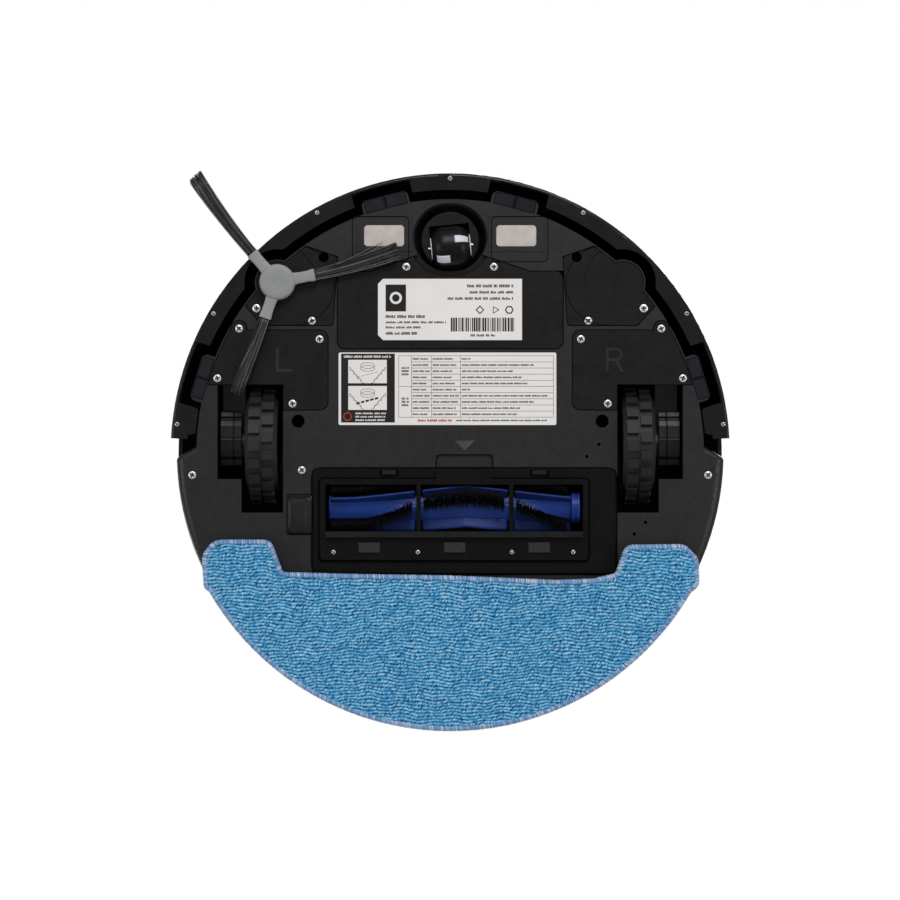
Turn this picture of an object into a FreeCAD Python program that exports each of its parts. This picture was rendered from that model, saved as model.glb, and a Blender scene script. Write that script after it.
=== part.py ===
"""Robot vacuum cleaner standing on its wheels.

Millimetres. +Z is up and z = 0 is the floor. The bumper, the front, faces -Y.
The origin is the centre of the round body at floor level.
Left is the side of the cover marked L, at -X; right is the cover marked R, at +X.
"""

import FreeCAD
import Part
import Sketcher
import math
import os
from types import SimpleNamespace

Vector = FreeCAD.Vector
Rotation = FreeCAD.Rotation

DIMENSIONS = {
    # body
    "height": 78,
    "rim_radius": 165,
    "chassis_z": 11,
    "plate": 2.2,
    "wall": 2.2,
    "shell_top": 57.5,
    "front_radius": 149.4,
    "rear_radius": 161.5,
    "shoulder_y": 4.1,
    "rear_front_y": 3,
    "rear_edge_round": 5,
    "seam": 0.3,
    "cover_z": 58.2,
    "cover_wall": 2.4,
    "cover_round": 8,
    "panel_radius": 120,
    "panel_thick": 1.4,
    "button_radius": 7.2,
    "button_x": 14,
    "button_y": 92,
    # bumper
    "bumper_z": 12.5,
    "bumper_top": 57,
    "bumper_wall": 2.4,
    "flange": 2,
    "flange_radius": 155.1,
    "bumper_arc": 174,
    "bumper_round": 1.8,
    "bumper_screw_radius": 162,
    "notch_front_angle": 14.75,
    "notch_front_half": 6.25,
    "notch_side_angle": 72.9,
    "notch_side_half": 6.6,
    "notch_outer": 162.5,
    "window_z": 27,
    "window_height": 19,
    "window_arc": 44,
    "window_thick": 1.4,
    # cliff sensors
    "sensor_front_angle": 14.5,
    "sensor_side_angle": 73.2,
    "sensor_long": 25,
    "sensor_wide": 7.6,
    "sensor_radius": 152.5,
    "sensor_bump": 156,
    "sensor_bump_half": 14,
    "sensor_bump_high": 5,
    "sensor_thick": 1.4,
    # charging contacts
    "contact_x": 38.9,
    "contact_y": -127.8,
    "contact_long": 23.6,
    "contact_wide": 12.5,
    "contact_thick": 1.2,
    "contact_proud": 0.3,
    "contact_frame_long": 33.4,
    "contact_frame_wide": 20.9,
    "contact_frame_y": -128.7,
    "groove": 0.4,
    # battery door, battery and labels
    "door_x": 66.5,
    "door_front_y": -107,
    "door_rear_y": -61.3,
    "door_nose_x": 20,
    "door_nose_y": -116.2,
    "door_slope_x": 46.5,
    "door_round": 4.5,
    "cover_corner": 5,
    "module_round": 2.5,
    "edge": 0.35,
    "battery_x": 61,
    "battery_front_y": -104,
    "battery_rear_y": -64,
    "battery_high": 30,
    "label_thick": 0.15,
    "rating_x0": -42.5,
    "rating_x1": 42.3,
    "rating_y0": -102.5,
    "rating_y1": -66.4,
    "table_x0": -65.7,
    "table_x1": 62.5,
    "table_y0": -59.1,
    "table_y1": -16.4,
    # side brush module
    "module_nose_x": 85,
    "module_corner_x": 66.3,
    "module_corner_y": -115.4,
    "module_inner_x": 69,
    "module_rear_y": -75,
    "module_heel_x": 110,
    "module_tail_x": 120.7,
    "cover_edge_radius": 148.3,
    "brush_hub_x": 101.5,
    "brush_hub_y": -100.3,
    "brush_hub_radius": 10.5,
    "brush_hub_z": 4.4,
    "brush_hub_high": 5.4,
    "bulge_radius": 13.5,
    "relief_radius": 19.8,
    "bulge_high": 30,
    "dish_radius": 23,
    "dish_deep": 0.8,
    "arm_reach": 22.2,
    "arm_wide": 5.7,
    "arm_high": 3.6,
    "arm_angle": -131,
    "tuft_long": 57,
    "tuft_wide": 6,
    "tuft_thick": 2.2,
    "tuft_tilt": 2.6,
    # wheel module
    "guard_x0": 71.9,
    "guard_y0": -72.4,
    "guard_y1": -25.2,
    "guard_ear_x": 124.4,
    "guard_ear_y": -73.3,
    "guard_ear_radius": 4.8,
    "pocket_x0": 98.4,
    "pocket_x1": 122.9,
    "pocket_x2": 137.1,
    "pocket_y0": -40.1,
    "pocket_y1": 35.2,
    "pocket_y2": 15.4,
    "housing_wall": 1.9,
    "housing_high": 60,
    "motor_room_y": -68.3,
    "motor_room_x": 126.8,
    "pivot_room_y": -53,
    "pivot_room_x": 134.9,
    "pivot_y": -46,
    "pivot_z": 25,
    "pin_radius": 2,
    "pin_inner_x": 108,
    "running": 0.05,
    "ear_x": 118,
    "ear_thick": 2.8,
    "ear_wide": 5,
    "wheel_x": 111.1,
    "wheel_y": -4,
    "wheel_radius": 35,
    "wheel_wide": 18.8,
    "tread": 2.6,
    "rim": 27,
    "lugs": 21,
    "lug_long": 5.4,
    "lug_wide": 6.6,
    "lug_gap": 0.7,
    "shaft_radius": 3,
    "gear_x0": 121.4,
    "gear_x1": 134.6,
    "gear_radius": 12.3,
    "arm_boss_radius": 6.3,
    "arm_neck": 11,
    "motor_y": -59,
    "motor_z": 27,
    "motor_radius": 7.5,
    "motor_plate": 4,
    "motor_x0": 100,
    "spring_radius": 4.2,
    "spring_wire": 1.4,
    # caster
    "well_y": -127,
    "well_radius": 20,
    "well_half": 2,
    "caster_y": -125.2,
    "well_top_radius": 17.2,
    "well_high": 11,
    "socket_wall": 2.4,
    "socket_high": 17,
    "caster_turn": -5.6,
    "fork_radius": 16.7,
    "fork_z": 10.6,
    "fork_high": 16.9,
    "fork_slot": 11.8,
    "trail": 3.9,
    "caster_radius": 12.2,
    "caster_half": 11.2,
    "caster_round": 5,
    "axle_radius": 1.25,
    "axle_long": 26.5,
    "stem_radius": 3,
    "stem_high": 9,
    # main brush, its frame and its guard
    "frame_x0": -81.1,
    "frame_x1": 97.6,
    "frame_y0": 9.2,
    "frame_y1": 71.2,
    "frame_round": 3,
    "frame_z": 9.6,
    "panel_x0": -76.7,
    "panel_x1": 81.3,
    "panel_y0": 15.3,
    "panel_y1": 63.4,
    "guard_z": 7.6,
    "guard_thick": 2,
    "window_x0": -73.3,
    "window_x1": 78,
    "window_y0": 18.6,
    "window_y1": 46.1,
    "rib_1": -18.5,
    "rib_2": 35.9,
    "rib_wide": 2.6,
    "rib_gap": 0.9,
    "squeegee_y": 47.8,
    "squeegee_wide": 3.4,
    "squeegee_low": 3.2,
    "pad_long": 12.5,
    "pad_wide": 6,
    "pad_y": 55.5,
    "brush_y": 32.4,
    "brush_z": 16.5,
    "brush_x0": -71.3,
    "brush_x1": 76.3,
    "brush_radius": 15,
    "core_radius": 7,
    "vane_thick": 1.6,
    "vane_radius": 14.2,
    "bristle_thick": 2,
    "end_cap_long": 5,
    "end_cap_radius": 9.5,
    "chamber_radius": 17.5,
    "chamber_wall": 2,
    "duct_half": 42,
    "duct_z0": 22,
    "duct_z1": 36,
    "tab_x0": -8.3,
    "tab_x1": 25.1,
    "tab_y0": 1.1,
    "tab_deep": 1.2,
    "gearbox_x0": -96,
    "gearbox_x1": -82.1,
    "gearbox_y0": 24.1,
    "gearbox_y1": 48.4,
    "gearbox_high": 36,
    # dustbin
    "bin_half": 73,
    "bin_y0": 76,
    "bin_z0": 14.2,
    "bin_high": 41.5,
    "bin_wall": 1.8,
    "bin_gap": 0.6,
    "lid_thick": 2,
    "filter_x1": 66,
    "filter_deep": 10,
    "filter_high": 18,
    "latch_half": 16,
    "latch_z": 43,
    "latch_high": 9,
    # mop
    "cloth_radius": 162,
    "cloth_high": 4,
    "cloth_inset": 3.5,
    "mop_front_y": 51,
    "mop_lobe_x": 137,
    "mop_lobe_inner_x": 105.5,
    "mop_notch_x": 96.5,
    "mop_notch_y": 69,
    "mop_middle_x": 90,
    "mop_middle_y": 72.5,
    "mop_side_x": 144.5,
    "mop_side_y": 82,
    "plate_high": 6.7,
    # fasteners and inside
    "screw_radius": 2.4,
    "screw_high": 0.9,
    "screw_hole": 2.8,
    "screw_deep": 1.3,
    "small_screw_radius": 1.4,
    "small_screw_hole": 1.75,
    "board_thick": 1.6,
    "board_z": 62,
    "board_x": 88,
    "board_y": 58,
    "fan_x": 40,
    "fan_y": -30,
    "fan_lift": 2,
    "fan_radius": 24,
    "fan_high": 36,
}

doc = FreeCAD.newDocument("robot_vacuum")
sheet = doc.addObject("Spreadsheet::Sheet", "Sizes")


class Size:
    """A number together with the spreadsheet formula that gives it."""

    def __init__(self, value, formula):
        self.value = value
        self.formula = formula

    def join(self, other, sign, result):
        return Size(result, f"({self.formula} {sign} {other.formula})")

    def __add__(self, other):
        other = sized(other)
        return self.join(other, "+", self.value + other.value)

    def __sub__(self, other):
        other = sized(other)
        return self.join(other, "-", self.value - other.value)

    def __mul__(self, other):
        other = sized(other)
        return self.join(other, "*", self.value * other.value)

    def __truediv__(self, other):
        other = sized(other)
        return self.join(other, "/", self.value / other.value)

    def __neg__(self):
        return sized(0) - self

    def __radd__(self, other):
        return sized(other) + self

    def __rsub__(self, other):
        return sized(other) - self

    def __rmul__(self, other):
        return sized(other) * self


def sized(number):
    """A plain number as a Size; a Size stays as it is."""
    if isinstance(number, Size):
        return number
    return Size(float(number), f"({float(number):.6f})")


def sine(degrees):
    degrees = sized(degrees)
    return Size(math.sin(math.radians(degrees.value)), f"sin({degrees.formula})")


def cosine(degrees):
    degrees = sized(degrees)
    return Size(math.cos(math.radians(degrees.value)), f"cos({degrees.formula})")


def leg(radius, across):
    """The other coordinate of a point on a circle about the origin."""
    square = sized(radius) * radius - sized(across) * across
    return Size(math.sqrt(square.value), f"sqrt({square.formula})")


def diagonal(across, up):
    """The length of the slanted side of a right triangle."""
    square = across * across + up * up
    return Size(math.sqrt(square.value), f"sqrt({square.formula})")


def fill_sheet():
    """Writes each dimension with its name to the sheet, and returns them as Sizes."""
    sizes = {}
    for row, (alias, value) in enumerate(DIMENSIONS.items(), start=1):
        sheet.set(f"A{row}", alias)
        sheet.set(f"B{row}", str(value))
        sheet.setAlias(f"B{row}", alias)
        sizes[alias] = Size(float(value), f"Sizes.{alias}")
    doc.recompute()
    return SimpleNamespace(**sizes)


d = fill_sheet()
nodes = []
SIDES = (("left", -1), ("right", 1))


# ---------------------------------------------------------------- building blocks


def node(name, thing):
    """Makes an object a sub-part: its label names its file."""
    thing.Label = name
    nodes.append(thing)
    return thing


def bind(thing, name, size):
    thing.setExpression(name, sized(size).formula)


def place(thing, x, y, z):
    bind(thing, "Placement.Base.x", x)
    bind(thing, "Placement.Base.y", y)
    bind(thing, "Placement.Base.z", z)
    return thing


def box(low, high):
    thing = doc.addObject("Part::Box", "Block")
    bind(thing, "Length", sized(high[0]) - low[0])
    bind(thing, "Width", sized(high[1]) - low[1])
    bind(thing, "Height", sized(high[2]) - low[2])
    return place(thing, *low)


TURN_TO = {
    "X": Rotation(Vector(0, 1, 0), 90),
    "Y": Rotation(Vector(1, 0, 0), -90),
    "Z": Rotation(),
}


def cylinder(base, radius, length, axis="Z"):
    thing = doc.addObject("Part::Cylinder", "Round")
    thing.Placement = FreeCAD.Placement(Vector(), TURN_TO[axis])
    bind(thing, "Radius", radius)
    bind(thing, "Height", length)
    return place(thing, *base)


def cut(base, *tools):
    result = base
    for tool in tools:
        step = doc.addObject("Part::Cut", "Cut")
        step.Base = result
        step.Tool = tool
        result = step
    return result


def fuse(*pieces):
    result = doc.addObject("Part::MultiFuse", "Joined")
    result.Shapes = list(pieces)
    return result


def common(first, second):
    result = doc.addObject("Part::Common", "Shared")
    result.Base = first
    result.Tool = second
    return result


def group(*pieces):
    result = doc.addObject("Part::Compound", "Group")
    result.Links = list(pieces)
    return result


def new_body(name):
    return doc.addObject("PartDesign::Body", name)


def new_sketch(body, role="XY_Plane", lift=0):
    """A sketch on one of the body's own planes, lifted along the plane's normal."""
    sketch = body.newObject("Sketcher::SketchObject", "Profile")
    plane = next(item for item in body.Origin.OriginFeatures if item.Role == role)
    sketch.AttachmentSupport = [(plane, "")]
    sketch.MapMode = "FlatFace"
    bind(sketch, "AttachmentOffset.Base.z", lift)
    return sketch


def pin_one(sketch, index, end, kind, size):
    """Ties a point of the geometry to its distance from the origin along one axis."""
    size = sized(size)
    number = sketch.addConstraint(Sketcher.Constraint(kind, -1, 1, index, end, size.value))
    sketch.setExpression(f"Constraints[{number}]", size.formula)


def pin_point(sketch, index, end, x, y):
    pin_one(sketch, index, end, "DistanceX", x)
    pin_one(sketch, index, end, "DistanceY", y)


def set_radius(sketch, index, radius):
    radius = sized(radius)
    number = sketch.addConstraint(Sketcher.Constraint("Radius", index, radius.value))
    sketch.setExpression(f"Constraints[{number}]", radius.formula)


def end_at(sketch, index, point):
    """1 where the geometry starts at the point, 2 where it ends there."""
    return 1 if (sketch.getPoint(index, 1) - point).Length < 1e-6 else 2


def outline(sketch, corners):
    """A closed outline through its corners.

    A corner is (x, y); an arc leaves it where it is (x, y, (via_x, via_y), radius).
    A half circle has ("DistanceX", x) or ("DistanceY", y) of its centre as its radius.
    """
    count = len(corners)
    first = sketch.GeometryCount
    points = [Vector(sized(corner[0]).value, sized(corner[1]).value) for corner in corners]
    for index, corner in enumerate(corners):
        start, finish = points[index], points[(index + 1) % count]
        edge = Part.LineSegment(start, finish)
        if len(corner) > 2:
            via = Vector(sized(corner[2][0]).value, sized(corner[2][1]).value)
            edge = Part.Arc(start, via, finish)
        sketch.addGeometry(edge)
    for index, corner in enumerate(corners):
        here, before = first + index, first + (index - 1) % count
        ends = end_at(sketch, here, points[index]), end_at(sketch, before, points[index])
        sketch.addConstraint(Sketcher.Constraint("Coincident", here, ends[0], before, ends[1]))
        pin_point(sketch, here, ends[0], corner[0], corner[1])
        if len(corner) > 2 and isinstance(corner[3], tuple):
            pin_one(sketch, here, 3, *corner[3])
        elif len(corner) > 2:
            set_radius(sketch, here, corner[3])
    return sketch


def rectangle(sketch, x0, y0, x1, y1):
    return outline(sketch, [(x0, y0), (x1, y0), (x1, y1), (x0, y1)])


def circle(sketch, x, y, radius):
    centre = Vector(sized(x).value, sized(y).value)
    edge = Part.Circle(centre, Vector(0, 0, 1), sized(radius).value)
    index = sketch.addGeometry(edge)
    pin_point(sketch, index, 3, x, y)
    set_radius(sketch, index, radius)
    return sketch


def stadium(sketch, y, half, radius):
    """Two half circles whose centres are half away from the Y axis."""
    low, high = y - radius, y + radius
    right = (half, low, (half + radius, y), ("DistanceX", half))
    left = (-half, high, (-half - radius, y), ("DistanceX", -half))
    return outline(sketch, [right, (half, high), left, (-half, low)])


def pad(body, sketch, length, reverse=False):
    feature = body.newObject("PartDesign::Pad", "Pad")
    feature.Profile = sketch
    feature.Reversed = reverse
    bind(feature, "Length", length)
    return feature


def pocket(body, sketch, depth, up=True):
    """Cuts along the sketch's normal, or against it: +Y for a sketch that faces the front."""
    feature = body.newObject("PartDesign::Pocket", "Pocket")
    feature.Profile = sketch
    feature.Reversed = up
    bind(feature, "Length", depth)
    return feature


def turn(body, sketch, kind="PartDesign::Revolution", angle=360, axis="V_Axis"):
    feature = body.newObject(kind, "Turned")
    feature.Profile = sketch
    feature.ReferenceAxis = (sketch, [axis])
    feature.Midplane = True
    bind(feature, "Angle", angle)
    return feature


def dress(body, kind, name, size, wanted):
    """A fillet or chamfer on the edges that the test picks from the solid so far."""
    doc.recompute()
    solid = body.Tip.Shape
    edges = [f"Edge{i}" for i, edge in enumerate(solid.Edges, start=1) if wanted(edge)]
    feature = body.newObject(kind, "Dressed")
    feature.Base = (feature.BaseFeature, edges)
    bind(feature, name, size)
    return feature


def fillet(body, radius, wanted):
    return dress(body, "PartDesign::Fillet", "Radius", radius, wanted)


def chamfer(body, size, wanted):
    return dress(body, "PartDesign::Chamfer", "Size", size, wanted)


def upright(edge):
    first, last = edge.Vertexes[0].Point, edge.Vertexes[-1].Point
    across = math.hypot(last.x - first.x, last.y - first.y)
    return across < 1e-6 and abs(last.z - first.z) > 1e-3


def level(z):
    """A test for edges that lie at this height."""
    height = sized(z).value
    return lambda edge: all(abs(v.Point.z - height) < 1e-4 for v in edge.Vertexes) and (
        abs(edge.BoundBox.ZLength) < 1e-4
    )


def plate_body(name, low, high, corner, bevel):
    body = new_body(name)
    sketch = rectangle(new_sketch(body, lift=low[2]), low[0], low[1], high[0], high[1])
    pad(body, sketch, sized(high[2]) - low[2])
    if sized(corner).value:
        fillet(body, corner, upright)
    if sized(bevel).value:
        chamfer(body, bevel, level(low[2]))
    return body


def near(places):
    """A test for upright edges that stand at one of these places."""
    spots = [(sized(x).value, sized(y).value) for x, y in places]

    def test(edge):
        point = edge.Vertexes[0].Point
        close = (math.hypot(point.x - x, point.y - y) < 0.05 for x, y in spots)
        return upright(edge) and any(close)

    return test


def slab(name, low, high, corner=0, bevel=0):
    """A sub-part that is a plate with rounded upright corners and a bevelled lower edge."""
    return node(name, plate_body(name, low, high, corner, bevel))


def span(side, near, far):
    """Two distances from the middle as low and high x on one side."""
    return (near, far) if side > 0 else (-far, -near)


def at_angle(angle, out, along=0):
    """A point turned from the front: out from the middle, and along to the right."""
    x = out * sine(angle) + along * cosine(angle)
    y = along * sine(angle) - out * cosine(angle)
    return x, y


# ---------------------------------------------------------------- shared outlines


def cover_outline(sketch, side, grow=0):
    """The wheel module's cover, up to the chassis edge and round the wheel pocket."""
    edge = d.cover_edge_radius + grow
    x0, y0, y1 = d.guard_x0 - grow, d.guard_y0 - grow, d.guard_y1 + grow
    pocket_x, pocket_y = d.pocket_x0 + grow, d.pocket_y0 + grow
    via = (side * leg(edge, 56), sized(-56))
    return outline(
        sketch,
        [
            (side * x0, y0),
            (side * leg(edge, y0), y0, via, edge),
            (side * leg(edge, pocket_y), pocket_y),
            (side * pocket_x, pocket_y),
            (side * pocket_x, y1),
            (side * x0, y1),
        ],
    )


def module_outline(sketch, side, grow=0):
    """The side brush module's panel, from the contact frame to the chassis edge."""
    edge = d.cover_edge_radius + grow
    nose_x, tail_x = d.module_nose_x - grow, d.module_tail_x + grow
    via = (side * 105 * edge / 148.3, -leg(edge, 105 * edge / 148.3))
    return outline(
        sketch,
        [
            (side * (d.module_corner_x - grow), d.module_corner_y - grow),
            (side * nose_x, -leg(edge, nose_x), via, edge),
            (side * tail_x, -leg(edge, tail_x)),
            (side * (d.module_heel_x + grow), d.module_rear_y + grow),
            (side * (d.module_inner_x - grow), d.module_rear_y + grow),
        ],
    )


def door_outline(sketch, grow=0):
    x, nose, slope = d.door_x + grow, d.door_nose_x, d.door_slope_x + grow
    front, rear, tip = d.door_front_y - grow, d.door_rear_y + grow, d.door_nose_y - grow
    right = [(nose, tip), (slope, front), (x, front), (x, rear)]
    left = [(-x, rear), (-x, front), (-slope, front), (-nose, tip)]
    return outline(sketch, right + left)


def shell_outline(sketch, inset=0):
    """The tray: a smaller circle behind the bumper and a larger one at the rear."""
    front, rear = d.front_radius - inset, d.rear_radius - inset
    shoulder_x, rear_x = leg(front, d.shoulder_y), leg(rear, d.rear_front_y + inset)
    front_via, rear_via = (sized(0), -front), (sized(0), rear)
    return outline(
        sketch,
        [
            (-shoulder_x, -d.shoulder_y, front_via, front),
            (shoulder_x, -d.shoulder_y),
            (rear_x, d.rear_front_y + inset, rear_via, rear),
            (-rear_x, d.rear_front_y + inset),
        ],
    )


def wheel_pocket(sketch, side):
    x0, x1, x2 = side * d.pocket_x0, side * d.pocket_x1, side * d.pocket_x2
    inner = [(x0, d.pocket_y0), (x2, d.pocket_y0), (x2, d.pocket_y2)]
    return outline(sketch, inner + [(x1, d.pocket_y2), (x1, d.pocket_y1), (x0, d.pocket_y1)])


def sensor_places():
    """The angle of each cliff sensor, with that of its notch in the bumper."""
    front, side = d.sensor_front_angle, d.sensor_side_angle
    return [(-side, "side"), (-front, "front"), (front, "front"), (side, "side")]


def turned_rectangle(sketch, angle, half, inner, outer):
    corners = [(half, inner), (half, outer), (-half, outer), (-half, inner)]
    return outline(sketch, [at_angle(angle, out, along) for along, out in corners])


# Where the screws sit: (x, y) in the tray, by the wheels, in the covers and in the door.
TRAY_SCREWS = [(-152, 13), (152, 13), (-87.4, 10.1)]
WHEEL_SCREWS = [(92.9, -29.1)]
COVER_SCREWS = [(77, -67.1), (124.4, -73.3), (137.2, -44)]
MODULE_SCREWS = [(114.1, -85.2), (81.4, -77.9)]
DOOR_SCREWS = [(-25.8, -109.7), (25.8, -109.7)]
PANEL_SCREWS = [(-68.6, 58.3), (-19, 58.3), (36.3, 58.3), (72.4, 58.3)]


def screw_holes(body, places, lift, radius, depth):
    sketch = new_sketch(body, lift=lift)
    for x, y in places:
        circle(sketch, x, y, radius)
    return pocket(body, sketch, depth)


def screw_heads(name, places, radius, z, high):
    return node(name, group(*(cylinder((x, y, z), radius, high) for x, y in places)))


# ---------------------------------------------------------------- the tray and its covers


def base_shell():
    body = new_body("base_shell")
    pad(body, shell_outline(new_sketch(body, lift=d.chassis_z)), d.shell_top - d.chassis_z)
    rear = d.rear_radius.value

    def rear_lower_edge(edge):
        far = math.hypot(edge.valueAt(edge.FirstParameter).x, edge.valueAt(edge.FirstParameter).y)
        return level(d.chassis_z)(edge) and edge.Length > 3 * rear * 0.9 and abs(far - rear) < 0.1

    fillet(body, d.rear_edge_round, rear_lower_edge)
    floor = d.chassis_z + d.plate
    for side in (-1, 1):
        bulge = new_sketch(body, lift=d.chassis_z)
        circle(bulge, side * d.brush_hub_x, d.brush_hub_y, d.bulge_radius)
        pad(body, bulge, d.bulge_high)
    pocket(body, shell_outline(new_sketch(body, lift=floor), d.wall), d.shell_top - floor)
    for side in (-1, 1):
        room = new_sketch(body, lift=floor)
        circle(room, side * d.brush_hub_x, d.brush_hub_y, d.bulge_radius - d.wall)
        pocket(body, room, d.bulge_high - d.plate - d.wall)
    for angle, notch in sensor_places():
        bump = new_sketch(body, lift=d.chassis_z)
        half, inner = d.sensor_bump_half, d.front_radius - d.wall
        pad(body, turned_rectangle(bump, angle, half, inner, d.sensor_bump), d.sensor_bump_high)
    outer = d.sensor_bump.value

    def bump_corner(edge):
        point = edge.Vertexes[0].Point
        return upright(edge) and math.hypot(point.x, point.y) > outer

    fillet(body, 3, bump_corner)
    for angle, notch in sensor_places():
        recess = new_sketch(body, lift=d.chassis_z)
        inner, outer_edge = d.sensor_radius - d.sensor_wide / 2, d.sensor_radius + d.sensor_wide / 2
        turned_rectangle(recess, angle, d.sensor_long / 2 + 0.2, inner - 0.2, outer_edge + 0.2)
        pocket(body, recess, d.sensor_thick + 0.1)
    for side in (-1, 1):
        pocket(body, wheel_pocket(new_sketch(body, lift=d.chassis_z), side), d.plate * 1.5)
        pocket(body, cover_outline(new_sketch(body, lift=d.chassis_z), side, d.seam), d.plate)
        ear = new_sketch(body, lift=d.chassis_z)
        circle(ear, side * d.guard_ear_x, d.guard_ear_y, d.guard_ear_radius + d.seam)
        pocket(body, ear, d.plate)
        pocket(body, module_outline(new_sketch(body, lift=d.chassis_z), side, d.seam), d.plate)
        heel = new_sketch(body, lift=d.chassis_z)
        circle(heel, side * d.brush_hub_x, d.brush_hub_y, d.bulge_radius - 1 + d.seam)
        pocket(body, heel, d.plate)
        frame = new_sketch(body, lift=d.chassis_z)
        x, y = side * d.contact_x, d.contact_frame_y
        for step in (0, d.groove):
            long, wide = d.contact_frame_long / 2 - step, d.contact_frame_wide / 2 - step
            rectangle(frame, x - long, y - wide, x + long, y + wide)
        pocket(body, frame, d.groove)
        seat = new_sketch(body, lift=d.chassis_z)
        long, wide = d.contact_long / 2, d.contact_wide / 2
        rectangle(seat, x - long, d.contact_y - wide, x + long, d.contact_y + wide)
        pocket(body, seat, d.contact_thick - d.contact_proud)
    pocket(body, door_outline(new_sketch(body, lift=d.chassis_z), d.edge), d.plate)
    well = stadium(new_sketch(body, lift=d.chassis_z), d.well_y, d.well_half, d.well_radius)
    pocket(body, well, d.plate)
    frame = new_sketch(body, lift=d.chassis_z)
    edge = d.edge
    rectangle(frame, d.frame_x0 - edge, d.frame_y0 - edge, d.frame_x1 + edge, d.frame_y1 + edge)
    pocket(body, frame, d.plate)
    gearbox = new_sketch(body, lift=d.chassis_z)
    rectangle(gearbox, d.gearbox_x0 - d.seam, d.gearbox_y0, d.gearbox_x1 + d.seam, d.gearbox_y1)
    pocket(body, gearbox, d.plate)
    tab = new_sketch(body, lift=d.chassis_z)
    rectangle(tab, d.tab_x0, d.tab_y0, d.tab_x1, d.frame_y0)
    pocket(body, tab, d.tab_deep)
    holes = new_sketch(body, lift=d.chassis_z)
    for x, y in [(-89.5, -18.7), (89.5, -18.7)]:
        circle(holes, x, y, 3.85)
    for x, y in [(80.5, 2.1), (87.6, -5), (115, 40.9), (108.4, 47.7)]:
        circle(holes, x, y, 1)
    pocket(body, holes, d.plate)
    places = list(TRAY_SCREWS)
    screw_holes(body, places, d.chassis_z, d.screw_hole, d.screw_deep)
    mouth = new_sketch(body, "XZ_Plane", -100)
    half = d.bin_half + d.bin_gap
    rectangle(mouth, -half, d.chassis_z + d.plate, half, d.shell_top)
    pocket(body, mouth, 70, False)
    cover_x, door_x = d.guard_x0 - d.seam, d.door_x + d.edge
    sides = (-1, 1)
    ends = (d.guard_y0 - d.seam, d.guard_y1 + d.seam)
    fillet(body, d.cover_corner + d.seam, near([(s * cover_x, y) for s in sides for y in ends]))
    ends = (d.door_front_y - d.edge, d.door_rear_y + d.edge)
    fillet(body, d.door_round + d.edge, near([(s * door_x, y) for s in sides for y in ends]))
    ends = (d.frame_y0 - edge, d.frame_y1 + edge)
    xs = (d.frame_x0 - edge, d.frame_x1 + edge)
    fillet(body, d.frame_round + edge, near([(x, y) for x in xs for y in ends]))
    heel = (d.module_inner_x - d.seam, d.module_rear_y + d.seam)
    fillet(body, d.module_round, near([(s * heel[0], heel[1]) for s in sides]))
    node("base_shell", body)


def module_covers():
    for name, side in (("side_brush_module_cover", -1), ("blank_module_cover", 1)):
        body = new_body(name)
        pad(body, module_outline(new_sketch(body, lift=d.chassis_z), side), d.plate)
        fillet(body, d.module_round, upright)
        chamfer(body, d.edge, level(d.chassis_z))
        heel = new_sketch(body, lift=d.chassis_z)
        circle(heel, side * d.brush_hub_x, d.brush_hub_y, d.bulge_radius - 1)
        pad(body, heel, d.plate)
        dish = new_sketch(body, lift=d.chassis_z)
        circle(dish, side * d.brush_hub_x, d.brush_hub_y, d.dish_radius)
        pocket(body, dish, d.dish_deep)
        if side < 0:
            hub = new_sketch(body, lift=d.chassis_z)
            circle(hub, side * d.brush_hub_x, d.brush_hub_y, 4)
            pocket(body, hub, d.plate)
        inspection = new_sketch(body, lift=d.chassis_z)
        circle(inspection, side * 74.5, -115.3, 3)
        pocket(body, inspection, d.plate)
        places = [(side * x, y) for x, y in MODULE_SCREWS]
        screw_holes(body, places, d.chassis_z, d.screw_hole, d.screw_deep)
        node(name, body)


def wheel_covers():
    for name, side in SIDES:
        body = new_body(f"{name}_module_cover")
        pad(body, cover_outline(new_sketch(body, lift=d.chassis_z), side), d.plate)
        ear = new_sketch(body, lift=d.chassis_z)
        circle(ear, side * d.guard_ear_x, d.guard_ear_y, d.guard_ear_radius)
        pad(body, ear, d.plate)
        inner = d.guard_x0.value

        def inner_corner(edge, limit=inner):
            return upright(edge) and abs(abs(edge.Vertexes[0].Point.x) - limit) < 0.1

        fillet(body, d.cover_corner, inner_corner)
        chamfer(body, d.edge, level(d.chassis_z))
        places = [(side * x, y) for x, y in COVER_SCREWS]
        places += [(side * x, y) for x, y in WHEEL_SCREWS]
        screw_holes(body, places, d.chassis_z, d.screw_hole, d.screw_deep)
        node(f"{name}_module_cover", body)


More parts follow.
